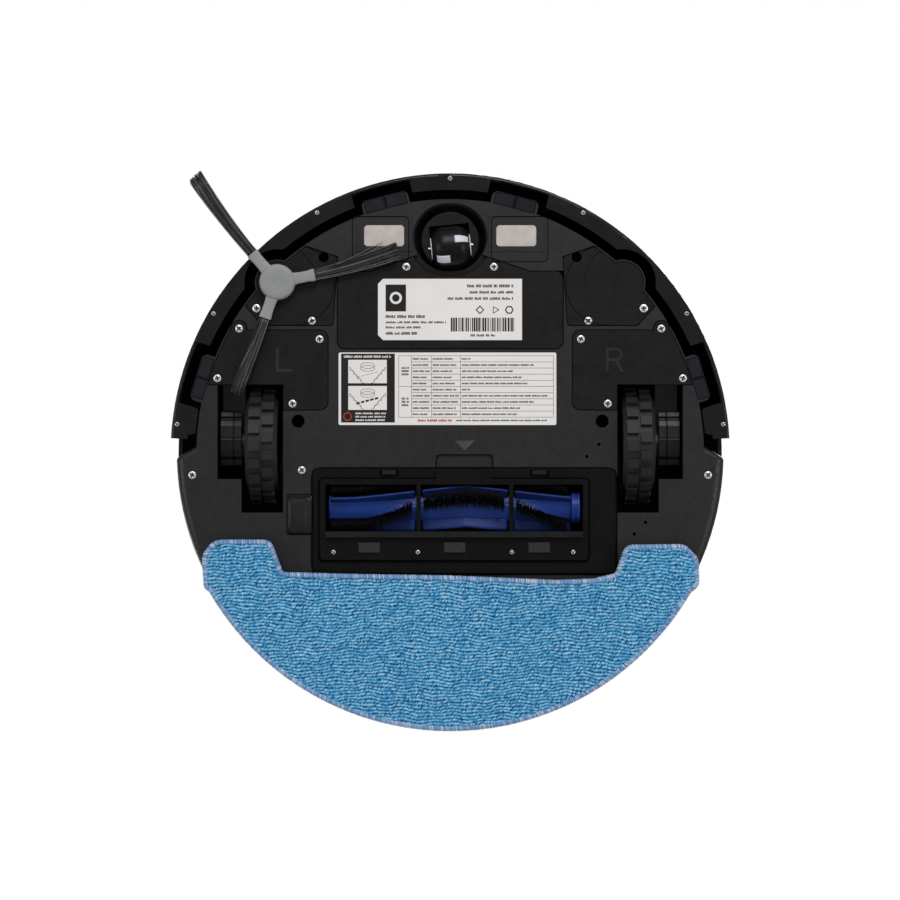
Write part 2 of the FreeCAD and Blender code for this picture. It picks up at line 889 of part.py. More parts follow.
def battery_door():
    body = new_body("battery_door")
    pad(body, door_outline(new_sketch(body, lift=d.chassis_z)), d.plate)
    side_x = d.door_x.value

    def outer_corner(edge):
        return upright(edge) and abs(abs(edge.Vertexes[0].Point.x) - side_x) < 0.1

    fillet(body, d.door_round, outer_corner)
    chamfer(body, d.edge, level(d.chassis_z))
    well = new_sketch(body, lift=d.chassis_z)
    stadium(well, d.well_y, d.well_half, d.well_radius + d.socket_wall + 0.4)
    pocket(body, well, d.plate)
    screw_holes(body, DOOR_SCREWS, d.chassis_z, d.screw_hole, d.screw_deep)
    node("battery_door", body)
    head_z = d.chassis_z + d.screw_deep - d.screw_high
    screw_heads("battery_door_screws", DOOR_SCREWS, d.screw_radius, head_z, d.screw_high)
    floor = d.chassis_z + d.plate + 0.3
    low = (-d.battery_x, d.battery_front_y, floor)
    slab("battery_pack", low, (d.battery_x, d.battery_rear_y, floor + d.battery_high), 3)
    paper = d.chassis_z - d.label_thick
    low = (d.rating_x0, d.rating_y0, paper)
    slab("rating_label", low, (d.rating_x1, d.rating_y1, d.chassis_z), 1.2)
    low = (d.table_x0, d.table_y0, paper)
    slab("table_label", low, (d.table_x1, d.table_y1, d.chassis_z), 1)


def chassis_screws():
    places = list(TRAY_SCREWS)
    for side in (-1, 1):
        screws = COVER_SCREWS + MODULE_SCREWS + WHEEL_SCREWS
        places += [(side * x, y) for x, y in screws]
    head_z = d.chassis_z + d.screw_deep - d.screw_high
    screw_heads("chassis_screws", places, d.screw_radius, head_z, d.screw_high)


def charge_contacts():
    for name, side in SIDES:
        x, z = side * d.contact_x, d.chassis_z - d.contact_proud
        long, wide = d.contact_long / 2, d.contact_wide / 2
        low = (x - long, d.contact_y - wide, z)
        high = (x + long, d.contact_y + wide, z + d.contact_thick)
        slab(f"{name}_charge_contact", low, high, 2, d.contact_proud)


def cliff_sensor_windows():
    pieces = []
    for angle, notch in sensor_places():
        piece = new_body("window")
        sketch = new_sketch(piece, lift=d.chassis_z)
        inner, outer = d.sensor_radius - d.sensor_wide / 2, d.sensor_radius + d.sensor_wide / 2
        pad(piece, turned_rectangle(sketch, angle, d.sensor_long / 2, inner, outer), d.sensor_thick)
        fillet(piece, 1, upright)
        pieces.append(piece)
    node("cliff_sensor_windows", group(*pieces))


def top_covers():
    body = new_body("top_cover")
    sketch = new_sketch(body, "XZ_Plane")
    rim, top, under = d.rim_radius, d.height, d.height - d.cover_wall - d.panel_thick
    curve = d.cover_round
    inner, seat = rim - d.cover_wall, d.panel_radius + d.seam
    bend = (rim - curve + curve * cosine(45), top - curve + curve * sine(45))
    outline(
        sketch,
        [
            (inner, d.cover_z),
            (rim, d.cover_z),
            (rim, top - curve, bend, curve),
            (rim - curve, top),
            (seat, top),
            (seat, top - d.panel_thick),
            (0, top - d.panel_thick),
            (0, under),
            (inner - curve, under),
            (inner, under - curve),
        ],
    )
    turn(body, sketch)
    holes = new_sketch(body, lift=under)
    for side in (-1, 1):
        circle(holes, side * d.button_x, -d.button_y, d.button_radius + d.seam)
    pocket(body, holes, d.cover_wall)
    node("top_cover", body)
    panel = new_body("top_panel")
    disc = new_sketch(panel, lift=top - d.panel_thick)
    circle(disc, 0, 0, d.panel_radius)
    for side in (-1, 1):
        circle(disc, side * d.button_x, -d.button_y, d.button_radius + d.seam)
    pad(panel, disc, d.panel_thick - 0.2)
    node("top_panel", panel)
    for name, side in (("power_button", -1), ("home_button", 1)):
        base = (side * d.button_x, -d.button_y, under - 1)
        cap = cylinder(base, d.button_radius, d.cover_wall + d.panel_thick + 1.3)
        stem = cylinder((base[0], base[1], under - 3.4), 2.2, 2.6)
        node(name, fuse(cap, stem))


# ---------------------------------------------------------------- bumper


def bumper():
    body = new_body("bumper")
    sketch = new_sketch(body, "YZ_Plane")
    outer, inner, low = d.rim_radius, d.rim_radius - d.bumper_wall, d.bumper_z
    curve = d.bumper_round
    bend = (-(outer - curve + curve * cosine(45)), low + curve - curve * sine(45))
    outline(
        sketch,
        [
            (-outer, d.bumper_top),
            (-outer, low + curve, bend, curve),
            (-(outer - curve), low),
            (-d.flange_radius, low),
            (-d.flange_radius, low + d.flange),
            (-inner, low + d.flange),
            (-inner, d.bumper_top),
        ],
    )
    turn(body, sketch, angle=d.bumper_arc)
    for side in (-1, 1):
        end = new_sketch(body, lift=low)
        inner_ends = [(side * 150.3, -11.4), (side * 148.4, -25.5), (side * 157, -30.6)]
        outline(end, inner_ends + [(side * 162.7, -9.2)])
        pad(body, end, d.flange)
    for angle, kind in sensor_places():
        half = d.notch_front_half if kind == "front" else d.notch_side_half
        middle = d.notch_front_angle if kind == "front" else d.notch_side_angle
        centre = middle if angle.value > 0 else -middle
        notch = new_sketch(body, lift=low)
        reach_half = d.notch_outer * sine(half)
        turned_rectangle(notch, centre, reach_half, d.flange_radius - 4, d.notch_outer)
        pocket(body, notch, d.flange)
    for side in (-1, 1):
        relief = new_sketch(body, lift=low)
        circle(relief, side * d.brush_hub_x, d.brush_hub_y, d.relief_radius)
        pocket(body, relief, d.flange)
    radius = d.bumper_screw_radius
    places = [at_angle(angle, radius) for angle in (-84, -59.5, -29, 0, 29, 59.5, 84)]
    places = [(x, y) for x, y in places]
    screw_holes(body, places, low, d.small_screw_hole, d.screw_deep)
    recess = new_sketch(body, "YZ_Plane")
    skin = outer - d.window_thick
    rectangle(recess, -outer - 1, d.window_z, -skin, d.window_z + d.window_height)
    turn(body, recess, "PartDesign::Groove", d.window_arc)
    node("bumper", body)
    window = new_body("bumper_ir_window")
    glass = new_sketch(window, "YZ_Plane")
    top = d.window_z + d.window_height - 0.1
    rectangle(glass, -outer, d.window_z + 0.1, -skin, top)
    turn(window, glass, angle=d.window_arc - 0.1)
    node("bumper_ir_window", window)
    head_z = low + d.screw_deep - d.screw_high
    screw_heads("bumper_screws", places, d.small_screw_radius, head_z, d.screw_high)


# ---------------------------------------------------------------- wheel modules


def wheel_housing(name, side):
    body = new_body(f"{name}_housing_shell")
    wall, z = d.housing_wall, d.chassis_z + d.plate
    plan = new_sketch(body, lift=z)
    room_x, pivot_x = d.motor_room_x + 1.6, d.pivot_room_x + 1.5
    outline(
        plan,
        [
            (side * (d.pocket_x0 - wall), d.motor_room_y - wall),
            (side * room_x, d.motor_room_y - wall),
            (side * room_x, d.pivot_room_y - 1),
            (side * pivot_x, d.pivot_room_y - 1),
            (side * pivot_x, d.pocket_y0 - wall),
            (side * (d.pocket_x2 + wall), d.pocket_y0 - wall),
            (side * (d.pocket_x2 + wall), d.pocket_y1 + wall),
            (side * (d.pocket_x0 - wall), d.pocket_y1 + wall),
        ],
    )
    pad(body, plan, d.housing_high)
    room = new_sketch(body, lift=z)
    outline(
        room,
        [
            (side * d.pocket_x0, d.motor_room_y),
            (side * d.motor_room_x, d.motor_room_y),
            (side * d.motor_room_x, d.pivot_room_y),
            (side * d.pivot_room_x, d.pivot_room_y),
            (side * d.pivot_room_x, d.pocket_y0),
            (side * d.pocket_x2, d.pocket_y0),
            (side * d.pocket_x2, d.pocket_y1),
            (side * d.pocket_x0, d.pocket_y1),
        ],
    )
    pocket(body, room, d.housing_high - wall)
    low_x, high_x = span(side, d.ear_x, d.ear_x + d.ear_thick)
    ear = new_sketch(body, lift=d.pivot_z - 5)
    half = d.ear_wide / 2
    rectangle(ear, low_x, d.pivot_y - half, high_x, d.pivot_y + half)
    pad(body, ear, d.housing_high + z - d.pivot_z + 5 - wall)
    low_x, high_x = span(side, d.ear_x - 1, d.pivot_room_x + 3)
    tool = cylinder((low_x, d.pivot_y, d.pivot_z), d.pin_radius, high_x - low_x, "X")
    node(f"{name}_wheel_housing", cut(body, tool))


def drive_arm(name, side):
    """The swinging gearbox, with its pivot boss, wheel axis boss and motor plate."""
    low_x, high_x = span(side, d.gear_x0, d.gear_x1)
    wide = d.gear_x1 - d.gear_x0
    rise, run = d.wheel_radius - d.pivot_z, d.wheel_y - d.pivot_y
    slope = math.degrees(math.atan2(rise.value, run.value))
    hub = cylinder((low_x, d.wheel_y, d.wheel_radius), d.gear_radius, wide, "X")
    boss = cylinder((low_x, d.pivot_y, d.pivot_z), d.arm_boss_radius, wide, "X")
    neck = doc.addObject("Part::Box", "Neck")
    neck.Placement = FreeCAD.Placement(Vector(), Rotation(Vector(1, 0, 0), slope))
    half = d.arm_neck / 2
    bind(neck, "Length", wide)
    bind(neck, "Width", diagonal(run, rise))
    bind(neck, "Height", d.arm_neck)
    lean_y, lean_z = half * math.sin(math.radians(slope)), half * math.cos(math.radians(slope))
    place(neck, low_x, d.pivot_y + lean_y, d.pivot_z - lean_z)
    plate_x0, plate_x1 = span(side, d.gear_x0, d.gear_x0 + d.motor_plate)
    plate = d.motor_plate
    end = cylinder((plate_x0, d.motor_y, d.motor_z), d.motor_radius + 1, plate, "X")
    link = box(
        (plate_x0, d.motor_y, d.motor_z - d.arm_boss_radius),
        (plate_x1, d.pivot_y, d.motor_z + d.arm_boss_radius - 2),
    )
    solid = fuse(hub, boss, neck, end, link)
    pivot = cylinder((low_x - 1, d.pivot_y, d.pivot_z), d.pin_radius + d.running, wide + 2, "X")
    bore_x0, bore_x1 = span(side, d.gear_x0 - 1, d.gear_x1 - 3)
    shaft = cylinder(
        (bore_x0, d.wheel_y, d.wheel_radius), d.shaft_radius + d.running, bore_x1 - bore_x0, "X"
    )
    node(f"{name}_drive_gearbox", cut(solid, pivot, shaft))
    motor_x0, motor_x1 = span(side, d.motor_x0, d.gear_x0)
    length = motor_x1 - motor_x0
    motor = cylinder((motor_x0, d.motor_y, d.motor_z), d.motor_radius, length, "X")
    node(f"{name}_wheel_motor", motor)


def wheel(name, side):
    x = side * d.wheel_x
    low_x, high_x = span(side, d.wheel_x - 8, d.wheel_x + 8)
    rim = cylinder((low_x, d.wheel_y, d.wheel_radius), d.rim, high_x - low_x, "X")
    shaft_x0, shaft_x1 = span(side, d.wheel_x + 7, d.gear_x1 - 4)
    centre = (shaft_x0, d.wheel_y, d.wheel_radius)
    shaft = cylinder(centre, d.shaft_radius, shaft_x1 - shaft_x0, "X")
    node(f"{name}_wheel_hub", fuse(rim, shaft))
    body = new_body(f"{name}_tyre")
    half = d.wheel_wide / 2
    band = new_sketch(body)
    tread = d.wheel_radius - d.tread
    outline(
        band,
        [
            (-half, d.rim),
            (half, d.rim),
            (half, tread - 2),
            (half - 2, tread),
            (2 - half, tread),
            (-half, tread - 2),
        ],
    )
    turn(body, band, axis="H_Axis")
    for row in (-1, 1):
        # An odd count started from opposite ends sets the two rows half a pitch apart.
        lug = new_sketch(body, lift=row * (tread - 0.5))
        low, high = span(row, d.lug_gap, d.lug_gap + d.lug_wide)
        rectangle(lug, low, -d.lug_long / 2, high, d.lug_long / 2)
        bump = pad(body, lug, d.tread + 0.4, row < 0)
        bump.Label = f"{name} lug {row}"
        doc.recompute()
        pattern = body.newObject("PartDesign::PolarPattern", "Lugs")
        pattern.Originals = [bump]
        pattern.Axis = (band, ["H_Axis"])
        pattern.Angle = 360
        pattern.Occurrences = int(d.lugs.value)
        body.Tip = pattern
    place(body, x, d.wheel_y, d.wheel_radius)
    node(f"{name}_tyre", body)


def pivots():
    pins, springs = [], []
    for _, side in SIDES:
        low_x, high_x = span(side, d.pin_inner_x, d.pivot_room_x + 1.4)
        pins.append(cylinder((low_x, d.pivot_y, d.pivot_z), d.pin_radius, high_x - low_x, "X"))
        low_x, high_x = span(side, d.pin_inner_x + 1, d.ear_x - 0.3)
        centre, long = (low_x, d.pivot_y, d.pivot_z), high_x - low_x
        coil = cylinder(centre, d.spring_radius, long, "X")
        hole = cylinder(centre, d.spring_radius - d.spring_wire, long, "X")
        springs.append(cut(coil, hole))
    node("suspension_pins", group(*pins))
    node("suspension_springs", group(*springs))


# ---------------------------------------------------------------- caster


def caster_socket():
    body = new_body("socket_cup")
    z = d.chassis_z + d.plate
    wall = d.socket_wall
    outer = stadium(new_sketch(body, lift=z), d.well_y, d.well_half, d.well_radius + wall)
    pad(body, outer, d.socket_high)
    boss = new_sketch(body, lift=z)
    circle(boss, 0, d.caster_y, d.stem_radius + 3)
    pad(body, boss, d.socket_high + d.stem_high - 1)
    mouth = stadium(new_sketch(body, lift=d.chassis_z), d.well_y, d.well_half, d.well_radius)
    roof = new_sketch(body, lift=d.chassis_z + d.well_high)
    stadium(roof, d.caster_y, sized(0.2), d.well_top_radius)
    well = body.newObject("PartDesign::SubtractiveLoft", "Well")
    well.Profile = mouth
    well.Sections = [roof]
    swivel = new_sketch(body, lift=d.chassis_z + d.well_high)
    circle(swivel, 0, d.caster_y, d.well_top_radius)
    pocket(body, swivel, d.fork_z + d.fork_high - d.chassis_z - d.well_high + 0.4)
    stem = new_sketch(body, lift=z)
    circle(stem, 0, d.caster_y, d.stem_radius + d.running)
    pocket(body, stem, d.socket_high + d.stem_high)
    inside_wall = cylinder((0, 0, 0), d.front_radius - d.wall - 0.05, d.height)
    node("caster_socket", common(body, inside_wall))


def turn_caster(thing):
    """Sets a caster piece, made about its swivel axis, in its place and heading."""
    thing.Placement = FreeCAD.Placement(Vector(), Rotation(Vector(0, 0, 1), d.caster_turn.value))
    return place(thing, 0, d.caster_y, 0)


def caster():
    body = new_body("caster_fork")
    disc = new_sketch(body, lift=d.fork_z)
    circle(disc, 0, 0, d.fork_radius)
    pad(body, disc, d.fork_high)
    stem = new_sketch(body, lift=d.fork_z + d.fork_high)
    circle(stem, 0, 0, d.stem_radius)
    pad(body, stem, d.stem_high - 1)
    slot = new_sketch(body, lift=d.fork_z)
    reach = d.caster_radius + 0.8
    half = d.fork_slot
    rectangle(slot, -half, d.trail - reach, half, d.trail + reach)
    pocket(body, slot, d.caster_radius * 2 + 0.8 - d.fork_z)
    notch = new_sketch(body, lift=d.fork_z)
    wide = d.axle_radius
    rectangle(notch, -d.axle_long / 2, d.trail - wide, d.axle_long / 2, d.trail + wide)
    pocket(body, notch, d.caster_radius - d.fork_z + d.axle_radius)
    node("caster_fork", turn_caster(body))
    wheel_body = new_body("caster_wheel")
    section = new_sketch(wheel_body, "XY_Plane", d.caster_radius)
    half, radius, curve = d.caster_half, d.caster_radius, d.caster_round
    bore = d.axle_radius + d.running
    bend = curve * cosine(45)
    shoulder, flat = d.trail + radius - curve, half - curve
    outline(
        section,
        [
            (-half, d.trail + bore),
            (half, d.trail + bore),
            (half, shoulder, (flat + bend, shoulder + bend), curve),
            (flat, d.trail + radius),
            (-flat, d.trail + radius, (-flat - bend, shoulder + bend), curve),
            (-half, shoulder),
        ],
    )
    axis = new_sketch(wheel_body, "XY_Plane", d.caster_radius)
    line = axis.addGeometry(Part.LineSegment(Vector(-20, 4, 0), Vector(20, 4, 0)))
    pin_point(axis, line, 1, -20, d.trail)
    pin_point(axis, line, 2, 20, d.trail)
    feature = turn(wheel_body, section)
    feature.ReferenceAxis = (axis, ["Edge1"])
    node("caster_wheel", turn_caster(wheel_body))
    axle = new_body("caster_axle")
    round_bar = new_sketch(axle, "YZ_Plane", -d.axle_long / 2)
    circle(round_bar, d.trail, d.caster_radius, d.axle_radius)
    pad(axle, round_bar, d.axle_long)
    node("caster_axle", turn_caster(axle))


# ---------------------------------------------------------------- side brush


def side_brush():
    body = new_body("side_brush_hub")
    z = d.brush_hub_z
    hub = new_sketch(body, lift=z)
    circle(hub, 0, 0, d.brush_hub_radius)
    pad(body, hub, d.brush_hub_high)
    chamfer(body, 0.8, level(z))
    for number in range(3):
        arm = new_sketch(body, lift=z + 1)
        angle = d.arm_angle + 120 * number + 90
        half = d.arm_wide / 2
        turned_rectangle(arm, angle, half, sized(4), d.arm_reach)
        pad(body, arm, d.arm_high)
    shaft = new_sketch(body, lift=z + d.brush_hub_high)
    circle(shaft, 0, 0, 3.2)
    pad(body, shaft, 8)
    place(body, -d.brush_hub_x, d.brush_hub_y, 0)
    node("side_brush_hub", body)
    tufts = []
    for number in range(3):
        angle = d.arm_angle.value + 120 * number
        tuft = doc.addObject("Part::Box", "Tuft")
        lean = Rotation(Vector(0, 0, 1), angle) * Rotation(Vector(0, 1, 0), d.tuft_tilt.value)
        start = lean.multVec(Vector(d.arm_reach.value, -d.tuft_wide.value / 2, 0))
        tuft.Placement = FreeCAD.Placement(Vector(), lean)
        bind(tuft, "Length", d.tuft_long - 2)
        bind(tuft, "Width", d.tuft_wide)
        bind(tuft, "Height", d.tuft_thick)
        height = d.brush_hub_z + d.arm_high / 2
        place(tuft, start.x - d.brush_hub_x, start.y + d.brush_hub_y, start.z + height)
        tufts.append(tuft)
    node("side_brush_bristles", group(*tufts))
    x, y, low = -d.brush_hub_x, d.brush_hub_y, d.chassis_z + d.plate
    gears = cylinder((x, y, low), d.bulge_radius - d.wall - 0.4, 20)
    motor = box((x - 2, y - 2, low), (x + 24, y + 22, low + 24))
    node("side_brush_gearmotor", cut(fuse(gears, motor), cylinder((x, y, low - 1), 4, 8)))


# ---------------------------------------------------------------- main brush


def brush_frame():
    """The fixed frame round the guard, with the arched chamber over the brush."""
    body = new_body("brush_module_frame")
    frame = new_sketch(body, lift=d.frame_z)
    rectangle(frame, d.frame_x0, d.frame_y0, d.frame_x1, d.frame_y1)
    pad(body, frame, d.chassis_z + d.plate - d.frame_z)
    fillet(body, d.frame_round, upright)
    chamfer(body, 0.6, level(d.frame_z))
    low_x, high_x = d.brush_x0 - 2, d.brush_x1 + 2
    arch = new_sketch(body, "YZ_Plane", low_x - d.chamber_wall)
    outer = d.chamber_radius + d.chamber_wall
    floor = d.frame_z + 1
    centre = ("DistanceY", d.brush_z)
    outline(
        arch,
        [
            (d.brush_y - outer, floor),
            (d.brush_y + outer, floor),
            (d.brush_y + outer, d.brush_z, (d.brush_y, d.brush_z + outer), centre),
            (d.brush_y - outer, d.brush_z),
        ],
    )
    pad(body, arch, high_x - low_x + d.chamber_wall * 2)
    duct = new_sketch(body, "XZ_Plane", -(d.brush_y + 4))
    half, wall = d.duct_half + d.chamber_wall, d.chamber_wall
    rectangle(duct, -half, d.duct_z0 - wall, half, d.duct_z1 + wall)
    pad(body, duct, d.bin_y0 - d.bin_gap - d.brush_y - 4, True)
    hollow = new_sketch(body, "YZ_Plane", low_x)
    outline(
        hollow,
        [
            (d.brush_y - d.chamber_radius, d.frame_z - 1),
            (d.brush_y + d.chamber_radius, d.frame_z - 1),
            (
                d.brush_y + d.chamber_radius,
                d.brush_z,
                (d.brush_y, d.brush_z + d.chamber_radius),
                centre,
            ),
            (d.brush_y - d.chamber_radius, d.brush_z),
        ],
    )
    pocket(body, hollow, high_x - low_x)
    passage = new_sketch(body, "XZ_Plane", -d.brush_y)
    rectangle(passage, -d.duct_half, d.duct_z0, d.duct_half, d.duct_z1)
    pocket(body, passage, 60, False)
    node("brush_module_frame", body)
    low = (d.gearbox_x0, d.gearbox_y0 + d.seam, d.frame_z)
    high = (low_x - d.chamber_wall - 0.2, d.gearbox_y1 - d.seam, d.frame_z + d.gearbox_high)
    frame_low = (d.gearbox_x1, d.gearbox_y0, d.frame_z - 1)
    step = box(frame_low, (low_x, d.gearbox_y1 + 1, d.chassis_z + d.plate + 0.2))
    node("brush_motor_gearbox", cut(plate_body("gearbox_block", low, high, 2, 1.2), step))


def brush_guard():
    body = new_body("brush_guard")
    panel = new_sketch(body, lift=d.guard_z)
    rectangle(panel, d.panel_x0, d.panel_y0, d.panel_x1, d.panel_y1)
    pad(body, panel, d.guard_thick)
    fillet(body, 2.5, upright)
    chamfer(body, 0.5, level(d.guard_z))
    window = new_sketch(body, lift=d.guard_z)
    rectangle(window, d.window_x0, d.window_y0, d.window_x1, d.window_y1)
    pocket(body, window, d.guard_thick)
    tab = new_sketch(body, lift=d.guard_z + 0.3)
    middle, half = (d.tab_x0 + d.tab_x1) / 2, (d.tab_x1 - d.tab_x0) / 2
    rectangle(tab, middle - half, d.frame_y0 + 1, middle + half, d.panel_y0 + 0.5)
    pad(body, tab, d.guard_thick - 0.5)
    for x in (d.rib_1, d.rib_2):
        rib = new_sketch(body, lift=d.guard_z)
        half = d.rib_wide / 2
        rectangle(rib, x - half, d.window_y0 - 0.5, x + half, d.window_y1 + 0.5)
        pad(body, rib, d.guard_thick - 0.6)
    screw_holes(body, PANEL_SCREWS, d.guard_z, d.small_screw_hole, d.screw_deep)
    node("brush_guard", body)
    strip_y0, strip_y1 = d.squeegee_y - d.squeegee_wide / 2, d.squeegee_y + d.squeegee_wide / 2
    low = (d.window_x0, strip_y0, d.guard_z - d.squeegee_low)
    slab("guard_squeegee", low, (d.window_x1, strip_y1, d.guard_z))
    pads = []
    for x in (-47.6, 2.7, 52.3):
        low = (x - d.pad_long / 2, d.pad_y - d.pad_wide / 2, d.guard_z - 0.6)
        high = (x + d.pad_long / 2, d.pad_y + d.pad_wide / 2, d.guard_z)
        pads.append(box(low, high))
    node("guard_pads", group(*pads))
    head_z = d.guard_z + d.screw_deep - d.screw_high
    screw_heads("guard_screws", PANEL_SCREWS, d.small_screw_radius, head_z, d.screw_high)


def main_brush():
    """The brush with its vanes and bristles, which leave room for the guard's ribs."""
    y, z = d.brush_y, d.brush_z
    x0, x1 = d.brush_x0, d.brush_x1 - d.end_cap_long
    node("main_brush_core", cylinder((x0, y, z), d.core_radius, x1 - x0, "X"))
    node("main_brush_end_cap", cylinder((x1, y, z), d.end_cap_radius, d.end_cap_long, "X"))
    gap = d.rib_wide / 2 + d.rib_gap
    stretches = [(x0 + 1, d.rib_1 - gap), (d.rib_1 + gap, d.rib_2 - gap), (d.rib_2 + gap, x1 - 0.3)]
    kinds = (
        ("main_brush_vanes", d.vane_thick, d.vane_radius, 0),
        ("main_brush_bristles", d.bristle_thick, d.brush_radius, 60),
    )
    for name, thick, radius, first in kinds:
        pieces = []
        for low_x, high_x in stretches:
            for number in range(3):
                blade = doc.addObject("Part::Box", "Blade")
                angle = first + 120 * number
                lean = Rotation(Vector(1, 0, 0), angle)
                start = lean.multVec(Vector(0, -thick.value / 2, d.core_radius.value - 0.05))
                blade.Placement = FreeCAD.Placement(Vector(), lean)
                bind(blade, "Length", high_x - low_x)
                bind(blade, "Width", thick)
                bind(blade, "Height", radius - d.core_radius)
                place(blade, low_x, y + start.y, z + start.z)
                pieces.append(blade)
        node(name, group(*pieces))


# ---------------------------------------------------------------- dustbin and fan


def dustbin():
    body = new_body("dustbin")
    half, wall = d.bin_half, d.bin_wall
    outer = d.rear_radius

    def plan(sketch, inset, floor_y):
        edge, x = outer - inset, half - inset
        corners = [(-x, floor_y), (x, floor_y), (x, leg(edge, x), (sized(0), edge), edge)]
        return outline(sketch, corners + [(-x, leg(edge, x))])

    pad(body, plan(new_sketch(body, lift=d.bin_z0), 0, d.bin_y0), d.bin_high)
    hollow = plan(new_sketch(body, lift=d.bin_z0 + wall), wall, d.bin_y0 + wall)
    pocket(body, hollow, d.bin_high - wall)
    mouth = new_sketch(body, "XZ_Plane", -(d.bin_y0 - 1))
    rectangle(mouth, -d.duct_half, d.duct_z0, d.duct_half, d.duct_z1)
    pocket(body, mouth, wall + 2, False)
    latch = new_sketch(body, "XZ_Plane", -(outer - 6))
    top = d.latch_z + d.latch_high
    rectangle(latch, -d.latch_half - 0.3, d.latch_z - 0.3, d.latch_half + 0.3, top + 0.3)
    pocket(body, latch, 20, False)
    node("dustbin", body)
    lid = new_body("dustbin_lid")
    top = d.bin_z0 + d.bin_high
    pad(lid, plan(new_sketch(lid, lift=top), 0, d.bin_y0), d.lid_thick - 0.6)
    node("dustbin_lid", lid)
    low = (-d.filter_x1, d.bin_y0 + wall + 0.2, top - d.filter_high)
    high = (d.filter_x1, d.bin_y0 + wall + d.filter_deep, top - 0.2)
    slab("dustbin_filter", low, high, 1)
    button_low = (-d.latch_half, outer - 6, d.latch_z)
    slab("bin_release_button", button_low, (d.latch_half, outer - 1.6, d.latch_z + d.latch_high), 1)


def inside():
    """The fan, the main board and the bits that only show with the cover off."""
    floor = d.chassis_z + d.plate
    place_of_fan = (d.fan_x, d.fan_y, floor + d.fan_lift)
    node("fan_motor", cylinder(place_of_fan, d.fan_radius, d.fan_high))
    x, y, z = d.board_x, d.board_y, d.board_z
    slab("main_board", (-x, -y, z), (x, y, z + d.board_thick), 4)


# ---------------------------------------------------------------- mop


def mop_outline(sketch, inset=0):
    """A rear segment with a lobe each side of the brush frame."""
    edge = d.cloth_radius - inset
    lobe_y, lobe_x = d.mop_front_y + inset, d.mop_lobe_x - inset
    lobe_in, notch = d.mop_lobe_inner_x + inset, d.mop_notch_x + inset
    notch_y, middle_x = d.mop_notch_y + inset, d.mop_middle_x + inset
    middle_y, side_x, side_y = d.mop_middle_y + inset, d.mop_side_x - inset, d.mop_side_y
    edge_x = side_x - 2
    right = [
        (notch, notch_y),
        (lobe_in, lobe_y),
        (lobe_x, lobe_y),
        (side_x, lobe_y + 8),
        (edge_x, leg(edge, edge_x), (sized(0), edge), edge),
    ]
    left = [(-x, y) for x, y, *_ in reversed(right)]
    corners = [(-middle_x, middle_y), (middle_x, middle_y)]
    return outline(sketch, corners + right + left)


def mop():
    cloth = new_body("mop_cloth")
    pad(cloth, mop_outline(new_sketch(cloth)), d.cloth_high)
    fillet(cloth, 4, upright)
    node("mop_cloth", cloth)
    plate = new_body("mop_plate")
    shape = mop_outline(new_sketch(plate, lift=d.cloth_high), d.cloth_inset)
    pad(plate, shape, d.plate_high - 0.3)
    fillet(plate, 3, upright)
    node("mop_plate", plate)


# ---------------------------------------------------------------- everything

base_shell()
module_covers()
wheel_covers()
battery_door()
chassis_screws()
charge_contacts()
cliff_sensor_windows()
top_covers()
bumper()
for name, side in SIDES:
    wheel_housing(name, side)
    drive_arm(name, side)
    wheel(name, side)
pivots()
caster_socket()
caster()
side_brush()
brush_frame()
brush_guard()
main_brush()
dustbin()
inside()
mop()
doc.recompute()


def check():
    """Stops on a failed object, an empty or invalid sub-part, or a cut that took nothing."""
    for thing in doc.Objects:
        if {"Invalid", "Error"} & set(thing.State):
            raise RuntimeError(f"{thing.Name} failed: {thing.State}")
        if thing.TypeId in ("PartDesign::Pocket", "PartDesign::Groove"):
            if thing.Shape.Volume >= thing.BaseFeature.Shape.Volume - 1e-6:
                raise RuntimeError(f"{thing.Name} cuts nothing")
    for thing in nodes:
        if thing.Shape.isNull() or not thing.Shape.isValid() or not thing.Shape.Solids:
            raise RuntimeError(f"{thing.Label} is not a valid solid")


check()
os.makedirs("parts", exist_ok=True)
for thing in nodes:
    thing.Shape.exportStep(f"parts/{thing.Label}.step")
print(len(nodes), "sub-parts")
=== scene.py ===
"""Looks of the robot vacuum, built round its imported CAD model.

Shapes are written in millimetres in the CAD frame: +Z up, the floor at z = 0, the
bumper at -Y, the side marked L at -X. The main camera looks up at the underside.
"""

import math
import random

import bmesh
import bpy
import numpy as np
from mathutils import Matrix, Vector
from mathutils.geometry import delaunay_2d_cdt


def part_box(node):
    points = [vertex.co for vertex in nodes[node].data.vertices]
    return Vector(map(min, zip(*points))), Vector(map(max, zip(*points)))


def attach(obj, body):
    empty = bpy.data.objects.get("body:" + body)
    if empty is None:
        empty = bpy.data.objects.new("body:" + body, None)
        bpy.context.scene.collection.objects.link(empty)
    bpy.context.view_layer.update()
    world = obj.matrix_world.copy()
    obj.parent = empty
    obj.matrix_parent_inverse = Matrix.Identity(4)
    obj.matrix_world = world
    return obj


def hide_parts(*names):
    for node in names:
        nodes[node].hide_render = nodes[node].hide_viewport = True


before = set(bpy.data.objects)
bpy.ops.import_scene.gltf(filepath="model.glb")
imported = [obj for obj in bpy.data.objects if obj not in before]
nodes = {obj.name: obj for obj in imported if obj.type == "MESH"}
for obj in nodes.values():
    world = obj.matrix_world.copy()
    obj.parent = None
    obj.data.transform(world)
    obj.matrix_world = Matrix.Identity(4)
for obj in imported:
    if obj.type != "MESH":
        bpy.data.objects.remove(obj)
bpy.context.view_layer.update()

MM = 0.001


# ---------------------------------------------------------------- materials


def tone(red, green, blue):
    """An sRGB colour, 0 to 255, as a linear one."""
    values = []
    for value in (red, green, blue):
        value /= 255
        values.append(value / 12.92 if value <= 0.04045 else ((value + 0.055) / 1.055) ** 2.4)
    return (*values, 1)


